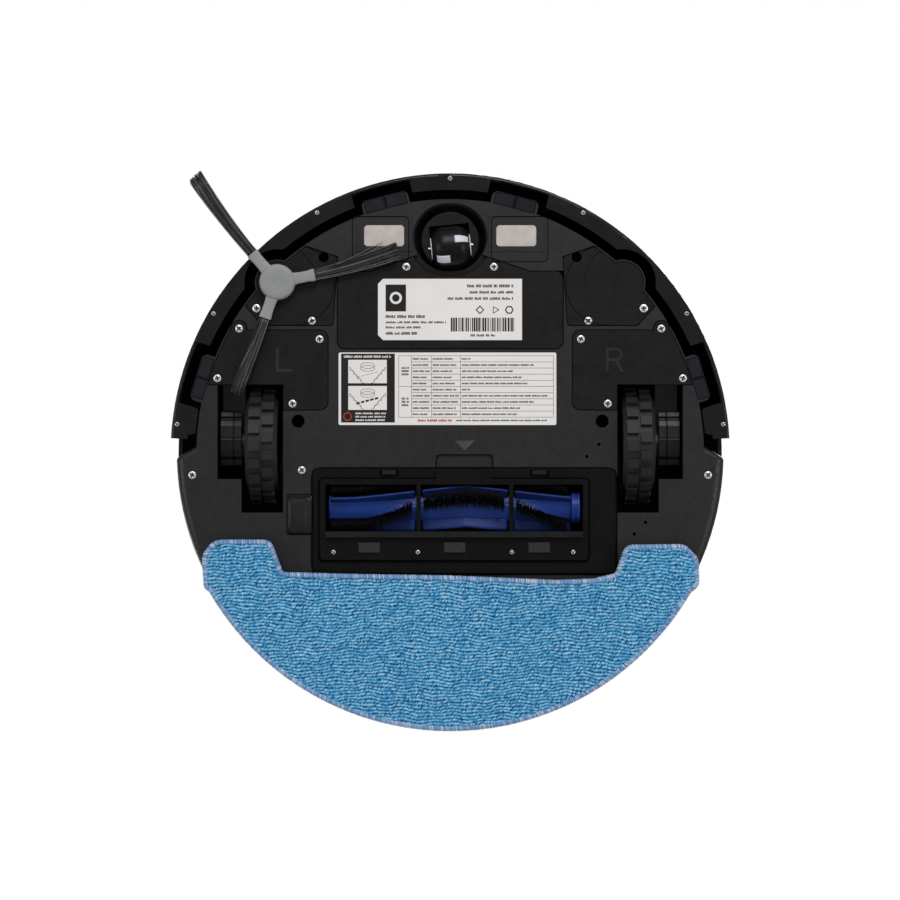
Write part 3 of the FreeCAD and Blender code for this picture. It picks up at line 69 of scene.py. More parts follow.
class Maker:
    """A material's node tree, with short ways to add to it."""

    def __init__(self, name):
        self.material = bpy.data.materials.new(name)
        self.material.use_nodes = True
        self.tree = self.material.node_tree
        self.shader = self.tree.nodes["Principled BSDF"]
        self.place = self.add("ShaderNodeTexCoord").outputs["Object"]

    def add(self, kind, inputs=None, **settings):
        made = self.tree.nodes.new(kind)
        for key, value in settings.items():
            setattr(made, key, value)
        for key, value in (inputs or {}).items():
            self.feed(made.inputs[key], value)
        return made

    def feed(self, socket, value):
        if isinstance(value, bpy.types.NodeSocket):
            self.tree.links.new(value, socket)
        else:
            socket.default_value = value

    def math(self, operation, *values, clamp=False):
        made = self.add("ShaderNodeMath", operation=operation, use_clamp=clamp)
        for socket, value in zip(made.inputs, values):
            self.feed(socket, value)
        return made.outputs[0]

    def noise(self, size, detail=2.0, stretch=None, roughness=0.5):
        """Noise whose features are about size millimetres across."""
        place = self.place
        if stretch:
            inputs = {0: place, 1: stretch}
            place = self.add("ShaderNodeVectorMath", inputs, operation="MULTIPLY").outputs[0]
        inputs = {"Vector": place, "Scale": 1 / (size * MM), "Detail": detail, "Roughness": roughness}
        return self.add("ShaderNodeTexNoise", inputs).outputs["Fac"]

    def cells(self, size, output="Distance"):
        """Round cells about size millimetres across."""
        inputs = {"Vector": self.place, "Scale": 1 / (size * MM)}
        return self.add("ShaderNodeTexVoronoi", inputs).outputs[output]

    def scaled(self, value, low, high, to_low, to_high):
        made = self.add("ShaderNodeMapRange", {0: value, 1: low, 2: high, 3: to_low, 4: to_high})
        return made.outputs[0]

    def ramp(self, value, *stops):
        made = self.add("ShaderNodeValToRGB", {0: value})
        elements = made.color_ramp.elements
        for index, (place, colour) in enumerate(stops):
            element = elements[index] if index < 2 else elements.new(place)
            element.position = place
            element.color = colour
        return made.outputs[0]

    def mix(self, factor, first, second, blend="MIX"):
        """One colour laid over another."""
        made = self.add("ShaderNodeMix", data_type="RGBA", blend_type=blend)
        self.feed(made.inputs["Factor"], factor)
        self.feed(made.inputs["A"], first)
        self.feed(made.inputs["B"], second)
        return made.outputs["Result"]

    def bump(self, height, distance, strength):
        inputs = {"Height": height, "Distance": distance * MM, "Strength": strength}
        return self.add("ShaderNodeBump", inputs).outputs[0]

    def set(self, **inputs):
        for key, value in inputs.items():
            self.feed(self.shader.inputs[key.replace("_", " ")], value)
        return self


def moulded(name, colour, rough, grain=0.35, depth=0.02, spread=0.25, metal=0.0, coat=0.0,
            specular=0.22, patch=14.0):
    """Moulded or cast material: slow tint changes, fine grain and small rubbed spots."""
    made = Maker(name)
    slow = made.noise(patch, 3)
    darker = tuple(c * (1 - spread) for c in colour[:3]) + (1,)
    lighter = tuple(min(1, c * (1 + spread)) for c in colour[:3]) + (1,)
    tint = made.ramp(slow, (0.3, darker), (0.7, lighter))
    specks = made.noise(grain, 4)
    tint = made.mix(made.scaled(specks, 0.62, 0.8, 0, 0.35), tint, lighter)
    wear = made.noise(patch / 4, 6, roughness=0.7)
    fine = made.cells(grain)
    made.set(
        Base_Color=tint,
        Roughness=made.scaled(wear, 0.3, 0.75, rough - 0.07, rough + 0.09),
        Normal=made.bump(fine, depth, 0.6),
        Metallic=metal,
        Coat_Weight=coat,
        Coat_Roughness=0.12,
    )
    made.shader.inputs["Specular IOR Level"].default_value = specular
    return made.material


M = {
    "chassis": moulded("chassis_plastic", tone(22, 21, 23), 0.4, 0.3, 0.015),
    "cover": moulded("cover_plastic", tone(31, 30, 33), 0.34, 0.3, 0.012),
    "bumper": moulded("bumper_plastic", tone(21, 21, 23), 0.28, 0.4, 0.006, coat=0.12),
    "inner": moulded("inner_plastic", tone(17, 17, 18), 0.45, 0.4, 0.03),
    "frame": moulded("frame_plastic", tone(12, 12, 13), 0.46, 0.3, 0.015, specular=0.12),
    # The dark grey of the cross plates laid in the screw recesses is painted shade.
    "recess": moulded("screw_recess_shade", tone(46, 44, 42), 0.6, 0.2, 0.004, patch=3),
    "gear": moulded("gear_plastic", tone(26, 26, 28), 0.4, 0.35, 0.01, specular=0.28),
    "bin": moulded("bin_plastic", tone(40, 41, 45), 0.25, 0.5, 0.006, coat=0.2),
    "window": moulded("sensor_window", tone(31, 27, 34), 0.2, 0.8, 0.003, coat=0.25),
    "steel": moulded("screw_steel", tone(236, 238, 236), 0.3, 0.25, 0.01, spread=0.06, metal=0.45,
                     specular=0.8, patch=2),
    "copper": moulded("axle_copper", tone(214, 160, 135), 0.25, 0.25, 0.01, spread=0.15, metal=1.0,
                      patch=2),
    "battery": moulded("battery_wrap", tone(30, 80, 150), 0.3, 0.6, 0.02),
    "roller": moulded("roller_plastic", tone(13, 13, 15), 0.34, 0.3, 0.008),
    "white": moulded("roller_white", tone(214, 214, 226), 0.35, 0.3, 0.008, spread=0.05),
    "hub": moulded("brush_grey", tone(146, 147, 147), 0.46, 0.25, 0.012, spread=0.05),
    "core": moulded("brush_blue", tone(27, 57, 132), 0.36, 0.4, 0.012, spread=0.14),
    "vane": moulded("brush_blue_rubber", tone(20, 44, 106), 0.42, 0.3, 0.03, spread=0.16),
    "rubber": moulded("squeegee_rubber", tone(20, 20, 22), 0.5, 0.3, 0.03),
    "panel": moulded("gloss_panel", tone(18, 18, 22), 0.2, 0.9, 0.001, coat=0.25, specular=0.3),
    # Lighter than the cover: painted sheen for the glossier raised letters.
    "mark": moulded("letter_sheen_plastic", tone(44, 43, 47), 0.3, 0.4, 0.01),
    # Near-black painted shade, laid as thin strips in seams, gaps and round the cliff sensors.
    "gap": moulded("shadow_gap", tone(5, 5, 6), 0.8, 0.4, 0.01, specular=0.05),
    "brush_hair": moulded("brush_hair", tone(9, 9, 10), 0.6, 0.4, 0.01, specular=0.15),
    "arrow": moulded("arrow_plastic", tone(72, 71, 74), 0.4, 0.4, 0.01),
    "ink": moulded("print_ink", tone(32, 30, 32), 0.6, 0.2, 0.004, patch=3),
    "red_ink": moulded("red_ink", tone(176, 58, 50), 0.55, 0.2, 0.004, patch=3),
}


def tyre_material():
    made = Maker("tyre_rubber")
    dust = made.noise(9, 5, roughness=0.65)
    tint = made.ramp(dust, (0.35, tone(15, 15, 16)), (0.75, tone(25, 25, 26)))
    fine = made.noise(0.25, 5)
    made.set(Base_Color=tint, Roughness=made.scaled(fine, 0.3, 0.7, 0.5, 0.72),
             Normal=made.bump(fine, 0.05, 0.7))
    return made.material


def contact_material():
    """Nickel-plated steel with rub marks from the dock."""
    made = Maker("contact_nickel")
    brushed = made.noise(0.35, 5, stretch=(0.08, 1, 1), roughness=0.7)
    cloud = made.noise(6, 4)
    tint = made.ramp(cloud, (0.3, tone(196, 187, 182)), (0.7, tone(212, 204, 200)))
    made.set(Base_Color=tint, Metallic=0.35, Normal=made.bump(brushed, 0.01, 0.5),
             Roughness=made.scaled(brushed, 0.3, 0.7, 0.34, 0.5))
    return made.material


def paper_material():
    made = Maker("label_paper")
    fibre = made.noise(0.5, 6, roughness=0.7)
    cloud = made.noise(22, 3)
    tint = made.ramp(cloud, (0.3, tone(232, 228, 225)), (0.7, tone(239, 236, 233)))
    made.set(Base_Color=tint, Roughness=made.scaled(fibre, 0.3, 0.7, 0.42, 0.55),
             Normal=made.bump(fibre, 0.008, 0.5))
    return made.material


def board_material():
    made = Maker("board")
    tracks = made.cells(4, output="Color")
    tint = made.mix(0.25, tone(18, 92, 52), tracks, "MULTIPLY")
    lines = made.noise(0.8, 3)
    made.set(Base_Color=tint, Roughness=0.35, Normal=made.bump(lines, 0.03, 0.5))
    return made.material


def filter_material():
    made = Maker("filter_paper")
    waves = {"Vector": made.place, "Scale": 55.0, "Distortion": 0.4}
    folds = made.add("ShaderNodeTexWave", waves).outputs["Fac"]
    fibre = made.noise(0.7, 6)
    # The tint follows the pleat wave, darker in the pleat hollows: painted shade.
    tint = made.ramp(folds, (0.0, tone(176, 172, 160)), (1.0, tone(232, 230, 222)))
    height = made.math("ADD", folds, fibre)
    made.set(Base_Color=tint, Roughness=0.85, Normal=made.bump(height, 0.4, 0.7))
    return made.material


def pad_material():
    made = Maker("pad_grey")
    dots = made.cells(0.8)
    tint = made.ramp(dots, (0.1, tone(46, 46, 47)), (0.8, tone(16, 16, 17)))
    made.set(Base_Color=tint, Roughness=0.75, Normal=made.bump(dots, 0.15, 0.8))
    return made.material


def bristle_material():
    """Nylon filaments: dark, a different tone on each, the palest of them painted highlights."""
    made = Maker("bristle")
    shade = made.add("ShaderNodeAttribute", attribute_name="shade").outputs["Fac"]
    along = made.noise(5, 3)
    # The pale top of this ramp is painted highlight on the lighter filaments.
    tint = made.ramp(shade, (0.0, tone(22, 21, 22)), (0.5, tone(50, 49, 50)), (1.0, tone(126, 124, 124)))
    tint = made.mix(made.scaled(along, 0.4, 0.7, 0, 0.2), tint, tone(58, 52, 48))
    made.set(Base_Color=tint, Roughness=made.scaled(along, 0.3, 0.7, 0.28, 0.42),
             Normal=made.bump(made.noise(0.3, 3), 0.01, 0.5))
    return made.material


def cloth_material():
    """Looped microfibre: deep blue between the loops as painted shade, pale crests as painted highlight,
    odd faded loops.
    """
    made = Maker("mop_fabric")
    height = made.add("ShaderNodeAttribute", attribute_name="shade").outputs["Fac"]
    fleck = made.noise(0.7, 5, stretch=(0.7, 1, 1), roughness=0.75)
    cloud = made.noise(16, 3)
    # Pile height darkens the hollows and lightens the crests: painted shade and painted highlight.
    level = made.math("ADD", made.math("MULTIPLY", height, 0.85), made.math("MULTIPLY", fleck, 0.36))
    tint = made.ramp(
        level,
        (0.22, tone(0, 42, 84)),
        (0.38, tone(16, 106, 164)),
        (0.62, tone(76, 172, 220)),
        (0.94, tone(204, 232, 240)),
    )
    tint = made.mix(made.scaled(cloud, 0.35, 0.7, 0, 0.18), tint, tone(36, 126, 186))
    threads = made.noise(0.32, 5, stretch=(0.6, 1, 1), roughness=0.8)
    made.set(Base_Color=tint, Roughness=0.92, Sheen_Weight=0.25, Sheen_Roughness=0.5,
             Normal=made.bump(threads, 0.35, 0.85))
    return made.material


def thread_material():
    made = Maker("hem_thread")
    shade = made.add("ShaderNodeAttribute", attribute_name="shade").outputs["Fac"]
    blues = (0.0, tone(72, 136, 196)), (0.5, tone(130, 172, 214)), (1.0, tone(208, 216, 234))
    tint = made.ramp(shade, *blues)
    twist = made.noise(0.25, 4, roughness=0.7)
    made.set(Base_Color=tint, Roughness=0.8, Sheen_Weight=0.2, Normal=made.bump(twist, 0.12, 0.8))
    return made.material


def shell_material():
    """The tray's plastic, with a coarser spark texture on the rear shoulders."""
    made = Maker("shell_plastic")
    x, y, _ = made.add("ShaderNodeSeparateXYZ", {0: made.place}).outputs
    wide = made.scaled(made.math("ABSOLUTE", x), 0.1385, 0.1395, 0, 1)
    rear = made.scaled(y, 0.0, 0.001, 0, 1)
    zone = made.math("MULTIPLY", wide, rear)
    cloud = made.noise(16, 3)
    tint = made.ramp(cloud, (0.3, tone(18, 17, 19)), (0.7, tone(24, 23, 25)))
    spark = made.cells(0.9)
    pits = made.math("MULTIPLY", made.scaled(spark, 0.0, 0.35, 0.3, 0), zone)
    tint = made.mix(pits, tint, tone(30, 30, 32))
    grain = made.cells(0.3)
    height = made.math("ADD", made.math("MULTIPLY", grain, 0.12), made.math("MULTIPLY", spark, zone))
    wear = made.noise(4, 6, roughness=0.7)
    made.set(Base_Color=tint, Roughness=made.scaled(wear, 0.3, 0.75, 0.36, 0.5),
             Normal=made.bump(height, 0.12, 0.6))
    return made.material


M.update(
    tyre=tyre_material(),
    contact=contact_material(),
    paper=paper_material(),
    board=board_material(),
    filter=filter_material(),
    pad=pad_material(),
    bristle=bristle_material(),
    cloth=cloth_material(),
    thread=thread_material(),
    shell=shell_material(),
)

FINISH = {
    "chassis_plastic": "chassis",
    "cover_plastic": "cover",
    "gloss_panel": "panel",
    "bumper_plastic": "bumper",
    "inner_plastic": "inner",
    "gear_plastic": "gear",
    "bin_plastic": "bin",
    "sensor_window": "window",
    "screw_steel": "steel",
    "contact_nickel": "contact",
    "axle_copper": "copper",
    "label_paper": "paper",
    "board": "board",
    "battery_wrap": "battery",
    "tyre_rubber": "tyre",
    "roller_plastic": "roller",
    "brush_grey": "hub",
    "bristle": "bristle",
    "brush_blue": "core",
    "brush_blue_rubber": "vane",
    "squeegee_rubber": "rubber",
    "pad_grey": "pad",
    "filter_paper": "filter",
    "mop_fabric": "cloth",
}
for name, thing in nodes.items():
    slot_name = thing.data.materials[0].name.split(".")[0]
    thing.data.materials[0] = M[FINISH[slot_name]]
nodes["base_shell"].data.materials[0] = M["shell"]
for name in ("brush_module_frame", "brush_guard"):
    nodes[name].data.materials[0] = M["frame"]


# ---------------------------------------------------------------- mesh building


class Shape:
    """Points and faces of one piece, with a shade for each point."""

    def __init__(self):
        self.points = []
        self.faces = []
        self.shades = []

    def add(self, points, faces, shade=0.5):
        first = len(self.points)
        self.points += [tuple(p) for p in points]
        self.faces += [tuple(first + i for i in face) for face in faces]
        self.shades += list(shade) if hasattr(shade, "__len__") else [shade] * len(points)
        return self

    def piece(self, name, body, slot, material, smooth=True, replaces=()):
        mesh = bpy.data.meshes.new(name)
        mesh.from_pydata([(x * MM, y * MM, z * MM) for x, y, z in self.points], [], self.faces)
        mesh.validate()
        mesh.polygons.foreach_set("use_smooth", [smooth] * len(mesh.polygons))
        shades = mesh.attributes.new("shade", "FLOAT", "POINT")
        shades.data.foreach_set("value", self.shades)
        mesh.materials.append(M[material])
        thing = bpy.data.objects.new(name, mesh)
        bpy.context.scene.collection.objects.link(thing)
        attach(thing, body)
        if replaces:
            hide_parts(*replaces)
        return thing


def bevel(thing, width):
    """Rounds the sharp edges of a piece, or of a CAD node, with a modifier."""
    modifier = thing.modifiers.new("Rounded", "BEVEL")
    modifier.width = width * MM
    modifier.segments = 2
    modifier.limit_method = "ANGLE"
    modifier.angle_limit = math.radians(35)


def fix_normals(thing, sharp=None):
    """Turns all faces outwards, and marks edges sharper than an angle in degrees."""
    mesh = bmesh.new()
    mesh.from_mesh(thing.data)
    bmesh.ops.recalc_face_normals(mesh, faces=mesh.faces)
    mesh.to_mesh(thing.data)
    mesh.free()
    if sharp:
        thing.data.set_sharp_from_angle(angle=math.radians(sharp))


def merge(thing, far=0.002):
    """Joins points that lie on each other."""
    mesh = bmesh.new()
    mesh.from_mesh(thing.data)
    bmesh.ops.remove_doubles(mesh, verts=mesh.verts, dist=far * MM)
    mesh.to_mesh(thing.data)
    mesh.free()


def wall(rings, steps):
    """The faces of a closed tube: rings of points, each with the same number of steps."""
    faces = []
    for ring in range(rings - 1):
        for step in range(steps):
            a, b = ring * steps + step, ring * steps + (step + 1) % steps
            faces.append((a, b, b + steps, a + steps))
    faces.append(tuple(range(steps - 1, -1, -1)))
    faces.append(tuple((rings - 1) * steps + step for step in range(steps)))
    return faces


def hoop(sections, size):
    """The faces of a ring: a closed section, repeated round a closed line."""
    faces = []
    for number in range(sections):
        a, b = number * size, (number + 1) % sections * size
        for step in range(size):
            other = (step + 1) % size
            faces.append((a + step, a + other, b + other, b + step))
    return faces


def circle(steps):
    """Evenly spaced angles of a full turn, in radians."""
    return [math.tau * step / steps for step in range(steps)]


def extrude(outline, low, high, place, shape, shade=0.5):
    """A plate between two heights, with place giving the point for a corner and a height."""
    count = len(outline)
    points = [place(*corner, height) for height in (low, high) for corner in outline]
    faces = [tuple(range(count)), tuple(range(2 * count - 1, count - 1, -1))]
    faces += [(i, i + count, (i + 1) % count + count, (i + 1) % count) for i in range(count)]
    return shape.add(points, faces, shade)


def prism(outline, low, high, shape, shade=0.5):
    """A plate that lies flat between two heights."""
    return extrude(outline, low, high, lambda x, y, z: (x, y, z), shape, shade)


def sideways(outline, x0, x1, shape):
    """A prism along X from (y, z) points."""
    return extrude(outline, x0, x1, lambda y, z, x: (x, y, z), shape)


def bar(x0, y0, x1, y1, low, high, shape):
    return prism([(x0, y0), (x0, y1), (x1, y1), (x1, y0)], low, high, shape)


def lathe(profile, turn, shape, steps=32):
    """Turns (radius, height) points about +Z, closed at both ends, then places the result."""
    points = []
    for radius, height in profile:
        for angle in circle(steps):
            points.append(turn @ Vector((radius * math.cos(angle), radius * math.sin(angle), height)))
    return shape.add(points, wall(len(profile), steps))


def tube(path, radii, shape, sides=5, shade=0.5):
    """A closed tube along a path."""
    path = [Vector(p) for p in path]
    count = len(path)
    radii = radii if hasattr(radii, "__len__") else [radii] * count
    points = []
    up = Vector((0.05, 0.02, 1))
    for index, here in enumerate(path):
        along = (path[min(index + 1, count - 1)] - path[max(index - 1, 0)]).normalized()
        side = along.cross(up)
        side = side.normalized() if side.length > 1e-3 else along.orthogonal().normalized()
        up = side.cross(along).normalized()
        for angle in circle(sides):
            points.append(here + radii[index] * (math.cos(angle) * side + math.sin(angle) * up))
    return shape.add(points, wall(count, sides), shade)


# ---------------------------------------------------------------- mop cloth and hem

# The edge from the left lobe round the front, as (x, y, corner radius).
CLOTH_LEFT = [(-143.5, 78.5, 8), (-144.5, 60, 9), (-138, 51.6, 9), (-105.5, 51.6, 6), (-98.5, 70.6, 3)]
CLOTH_MIDDLE = [(-60, 71.6, 20), (0, 72.6, 20), (62, 75.2, 20), (84, 74.4, 10)]
CLOTH_RIGHT = [(97.3, 71.2, 4), (103, 54.6, 6), (137, 54.2, 8), (144.6, 62, 8), (145, 77.6, 6)]
CLOTH_RADIUS = 162
CLOTH_HIGH = 4


def rounded(corners, step=0.5):
    """A closed line with its corners rounded, as points about step apart."""
    line = []
    count = len(corners)
    for index, (x, y, radius) in enumerate(corners):
        here = Vector((x, y))
        before = Vector(corners[index - 1][:2]) - here
        after = Vector(corners[(index + 1) % count][:2]) - here
        turn = before.angle(after)
        reach = min(radius / math.tan(turn / 2), before.length * 0.45, after.length * 0.45)
        start, end = here + before.normalized() * reach, here + after.normalized() * reach
        for part in range(7):
            t = part / 6
            line.append((1 - t) ** 2 * start + 2 * t * (1 - t) * here + t * t * end)
    return spaced(line, step)


def spaced(line, step):
    """The same closed line with evenly spaced points."""
    ends = line + [line[0]]
    lengths = [0.0]
    for a, b in zip(ends, ends[1:]):
        lengths.append(lengths[-1] + (b - a).length)
    count = round(lengths[-1] / step)
    result, index = [], 0
    for number in range(count):
        want = lengths[-1] * number / count
        while lengths[index + 1] < want:
            index += 1
        t = (want - lengths[index]) / max(lengths[index + 1] - lengths[index], 1e-9)
        result.append(ends[index].lerp(ends[index + 1], t))
    return result


def cloth_line(step):
    """The cloth's outline: the front edge, then the arc round the rear."""
    arc = []
    for number in range(41):
        turn = math.radians(60 - 3 * number)
        arc.append((CLOTH_RADIUS * math.sin(turn), CLOTH_RADIUS * math.cos(turn), 2))
    return rounded(CLOTH_LEFT + CLOTH_MIDDLE + CLOTH_RIGHT + arc, step)


def area_of(line):
    return abs(sum(a.x * b.y - b.x * a.y for a, b in zip(line, line[1:] + line[:1]))) / 2


def hashed(a, b, salt):
    """A repeatable number from 0 to 1 for each pair of whole numbers."""
    value = np.sin(a * 127.1 + b * 311.7 + salt * 74.7) * 43758.5453
    return value - np.floor(value)


def loop_height(x, y):
    """Height of the looped pile, 0 to 1: rows of overlapping loops on slightly wavy lines."""
    row_pitch, loop_pitch = 1.9, 1.1
    wave = 1.0 * np.sin(x / 17 + y / 31) + 0.5 * np.sin(x / 4.7 + y / 6 + 1.3)
    wave += 0.35 * np.sin(x / 2.3 - y / 5)
    row = (y + wave) / row_pitch
    height = np.zeros_like(x)
    for row_step in (-1, 0, 1):
        line = np.round(row) + row_step
        slip = hashed(line, 0 * line, 3) * loop_pitch
        spot = np.round((x - slip) / loop_pitch)
        for spot_step in (-1, 0, 1):
            number = spot + spot_step
            middle_x = number * loop_pitch + slip + (hashed(line, number, 1) - 0.5) * 0.6
            middle_y = line + (hashed(line, number, 2) - 0.5) * 0.4
            long = 0.62 + 0.26 * hashed(line, number, 5)
            wide = 0.7 + 0.15 * hashed(line, number, 6)
            above = (row - middle_y) * row_pitch
            far = ((x - middle_x + 0.45 * above) / long) ** 2 + (above / (wide * 1.35)) ** 2
            tall = 0.55 + 0.45 * hashed(line, number, 4)
            height = np.maximum(height, tall * np.sqrt(np.clip(1 - far, 0, 1)))
    valley = np.cos(np.pi * (row - np.round(row))) ** 2
    return height * (0.6 + 0.4 * valley)


def cloth_grid(edge, pitch):
    """Points on a triangular grid inside a closed line."""
    xs = np.array([p.x for p in edge])
    ys = np.array([p.y for p in edge])
    next_xs, next_ys = np.roll(xs, -1), np.roll(ys, -1)
    low, high = min(ys), max(ys)
    row_step = pitch * 0.866
    points = []
    for row in range(int((high - low) / row_step)):
        y = low + row * pitch * 0.866
        crossing = np.nonzero((ys <= y) != (next_ys <= y))[0]
        cuts = sorted(
            xs[i] + (y - ys[i]) / (next_ys[i] - ys[i]) * (next_xs[i] - xs[i]) for i in crossing
        )
        shift = pitch / 2 * (row % 2)
        for start, end in zip(cuts[::2], cuts[1::2]):
            first = math.ceil((start + 0.5 - shift) / pitch)
            last = math.floor((end - 0.5 - shift) / pitch)
            points += [(number * pitch + shift, y) for number in range(first, last + 1)]
    points = np.array(points)
    return points[edge_distance(points, edge) > 0.4]


def mop_cloth():
    """The looped cloth: its piled underside, a flat back and a thin side between them."""
    edge = cloth_line(0.9)
    count = len(edge)
    inner = cloth_grid(edge, 0.54)
    flat = [Vector(p) for p in edge] + [Vector(p) for p in inner]
    rim = [(i, (i + 1) % count) for i in range(count)]
    points, _, faces, *_ = delaunay_2d_cdt(flat, rim, [], 1, 1e-6)
    x = np.array([p.x for p in points])
    y = np.array([p.y for p in points])
    pile = loop_height(x, y)
    if len(points) == len(flat):
        far = np.concatenate([np.zeros(count), edge_distance(inner, edge)])
    else:
        far = edge_distance(np.stack([x, y], 1), edge)
    fade = np.clip(far / 2.5, 0, 1)
    lower = (0.95 - 0.9 * pile * fade) * fade + 0.5 * (1 - fade)
    shape = Shape()
    # The pile height is kept as each point's shade; from it the cloth material paints shade in the
    # hollows and highlight on the crests.
    shape.add(list(zip(x, y, lower)), [tuple(reversed(f)) for f in faces], list(pile))
    top_first = len(shape.points)
    tops, _, top_faces, *_ = delaunay_2d_cdt(flat[:count], rim, [], 1, 1e-6)
    shape.add([(p.x, p.y, CLOTH_HIGH) for p in tops], top_faces, 0.4)
    shape.faces += [(i, j, top_first + j, top_first + i) for i, j in rim]
    cloth = shape.piece("mop_pile", "mop", "mop_fabric", "cloth", replaces=["mop_cloth"])
    fix_normals(cloth)
    return cloth, area_of(edge)


def edge_distance(points, line):
    """How far each point is from the nearest point of a closed line, in millimetres."""
    spots = np.array([(p.x, p.y) for p in line])
    best = np.full(len(points), 1e9)
    for first in range(0, len(spots), 64):
        part = spots[first : first + 64]
        gap = ((points[:, None, :] - part[None, :, :]) ** 2).sum(2).min(1)
        best = np.minimum(best, gap)
    return np.sqrt(best)


def edge_frames(line):
    """Each point of a closed line, with the directions along it and inwards."""
    for index, here in enumerate(line):
        along = (line[(index + 1) % len(line)] - line[index - 1]).normalized()
        yield here, along, Vector((-along.y, along.x))


def mop_hem():
    """A rolled edge with overlock stitches wrapped round it."""
    line = cloth_line(1.0)
    profile = [(-0.35, 0.9), (-0.55, 2.2), (-0.3, 3.7), (1.0, 4.15), (1.6, 3.9), (1.7, 0.7), (1.0, 0.25),
               (0.2, 0.3)]
    points = []
    for here, _, inward in edge_frames(line):
        points += [(*(here + inward * reach), height) for reach, height in profile]
    band, stitches = Shape(), Shape()
    band.add(points, hoop(len(line), len(profile)), 0.25)
    dice = random.Random(21)
    for here, along, inward in edge_frames(line):
        reach = 1.85 + dice.uniform(-0.3, 0.3)
        lean = dice.uniform(0.5, 1.1)
        wrap = [(1, reach, 0.75), (0.75, 1.3, 0.22), (0.5, 0.0, 0.3), (0.3, -0.62, 1.4),
                (0.2, -0.62, 3.0), (0.1, 0.2, 4.15), (0, 1.9, 4.25)]
        path = [(*(here + inward * out + along * (lean * t)), height) for t, out, height in wrap]
        tube(path, 0.4 + dice.uniform(-0.05, 0.05), stitches, 5, dice.uniform(0.1, 1))
    hem = band.piece("mop_hem_band", "mop", "mop_fabric", "thread")
    fix_normals(hem)
    wraps = stitches.piece("mop_hem_stitches", "mop", "mop_fabric", "thread")
    return hem, wraps


cloth, cloth_area = mop_cloth()
hem_pieces = mop_hem()


# ---------------------------------------------------------------- screws

SCREWS = {
    "chassis_screws": (
        "chassis", 2.4,
        [(-152, 13), (152, 13), (-87.4, 10.1)]
        + [(side * x, y) for side in (-1, 1) for x, y in
           [(77, -67.1), (124.4, -73.3), (137.2, -44), (114.1, -85.2), (81.4, -77.9), (92.9, -29.1)]],
    ),
    "battery_door_screws": ("battery_door", 2.4, [(-25.8, -109.7), (25.8, -109.7)]),
    "guard_screws": ("brush_guard", 1.4, [(-68.6, 58.3), (-19, 58.3), (36.3, 58.3), (72.4, 58.3)]),
    "bumper_screws": (
        "bumper", 1.45,
        [(162 * math.sin(math.radians(a)), -162 * math.cos(math.radians(a)))
         for a in (-84, -59.5, -29, 0, 29, 59.5, 84)],
    ),
}


def screw(shape, x, y, low, high, radius, heading):
    """A pan head that faces down, with a cross recess."""
    rings, steps = 9, 32
    points, faces = [], []
    cross_long, cross_wide, deep = radius * 0.58, radius * 0.15, radius * 0.3
    for ring in range(rings + 1):
        far = radius * (ring / rings) ** 0.9
        for step in range(steps):
            angle = math.tau * step / steps + heading
            a, b = abs(far * math.cos(angle - heading)), abs(far * math.sin(angle - heading))
            dome = low + (high - low) * 0.55 * (far / radius) ** 3
            arm = min(a, b) < cross_wide and max(a, b) < cross_long
            points.append((x + far * math.cos(angle), y + far * math.sin(angle), dome + deep * arm))
    for step in range(steps):
        angle = math.tau * step / steps + heading
        points.append((x + radius * math.cos(angle), y + radius * math.sin(angle), high))
    for ring in range(rings + 1):
        for step in range(steps):
            a, b = ring * steps + step, ring * steps + (step + 1) % steps
            faces.append((a + steps, b + steps, b, a))
    faces.append(tuple((rings + 1) * steps + step for step in range(steps - 1, -1, -1)))
    shape.add(points, faces)


def cross(shape, x, y, low, radius, heading):
    """A dark cross-shaped plate laid in a cross recess, painted shade for its floor."""
    long, wide = radius * 0.6, radius * 0.17
    line = []
    for quarter in range(4):
        turn = heading + quarter * math.pi / 2
        c, s = math.cos(turn), math.sin(turn)
        for a, b in ((long, wide), (wide, wide), (wide, long)):
            line.append((x + a * c - b * s, y + a * s + b * c))
    prism(line, low - 0.03, low + 0.4, shape)


def screws():
    """Puts a screw head with a cross recess at every place, each turned its own way."""
    dice = random.Random(5)
    for name, (body, radius, places) in SCREWS.items():
        shape, recess_shades = Shape(), Shape()
        low, high = (corner.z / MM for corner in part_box(name))
        for x, y in places:
            heading = dice.uniform(0, math.pi)
            screw(shape, x, y, low, high, radius, heading)
            # A dark cross plate of painted shade sits in each recess.
            cross(recess_shades, x, y, low, radius, heading)
        made = shape.piece(
            f"{name}_cross_heads", body, "screw_steel", "steel", smooth=False, replaces=[name]
        )
        merge(made)
        recess_shades.piece(f"{name}_recesses", body, "screw_steel", "recess", smooth=False)


screws()


# ---------------------------------------------------------------- side brush

HUB = Vector((-101.5, -100.3))
ARM_ANGLES = (-131, -11, 109)
CLAMP_END = 19.5
TUFT_FILAMENTS = 150


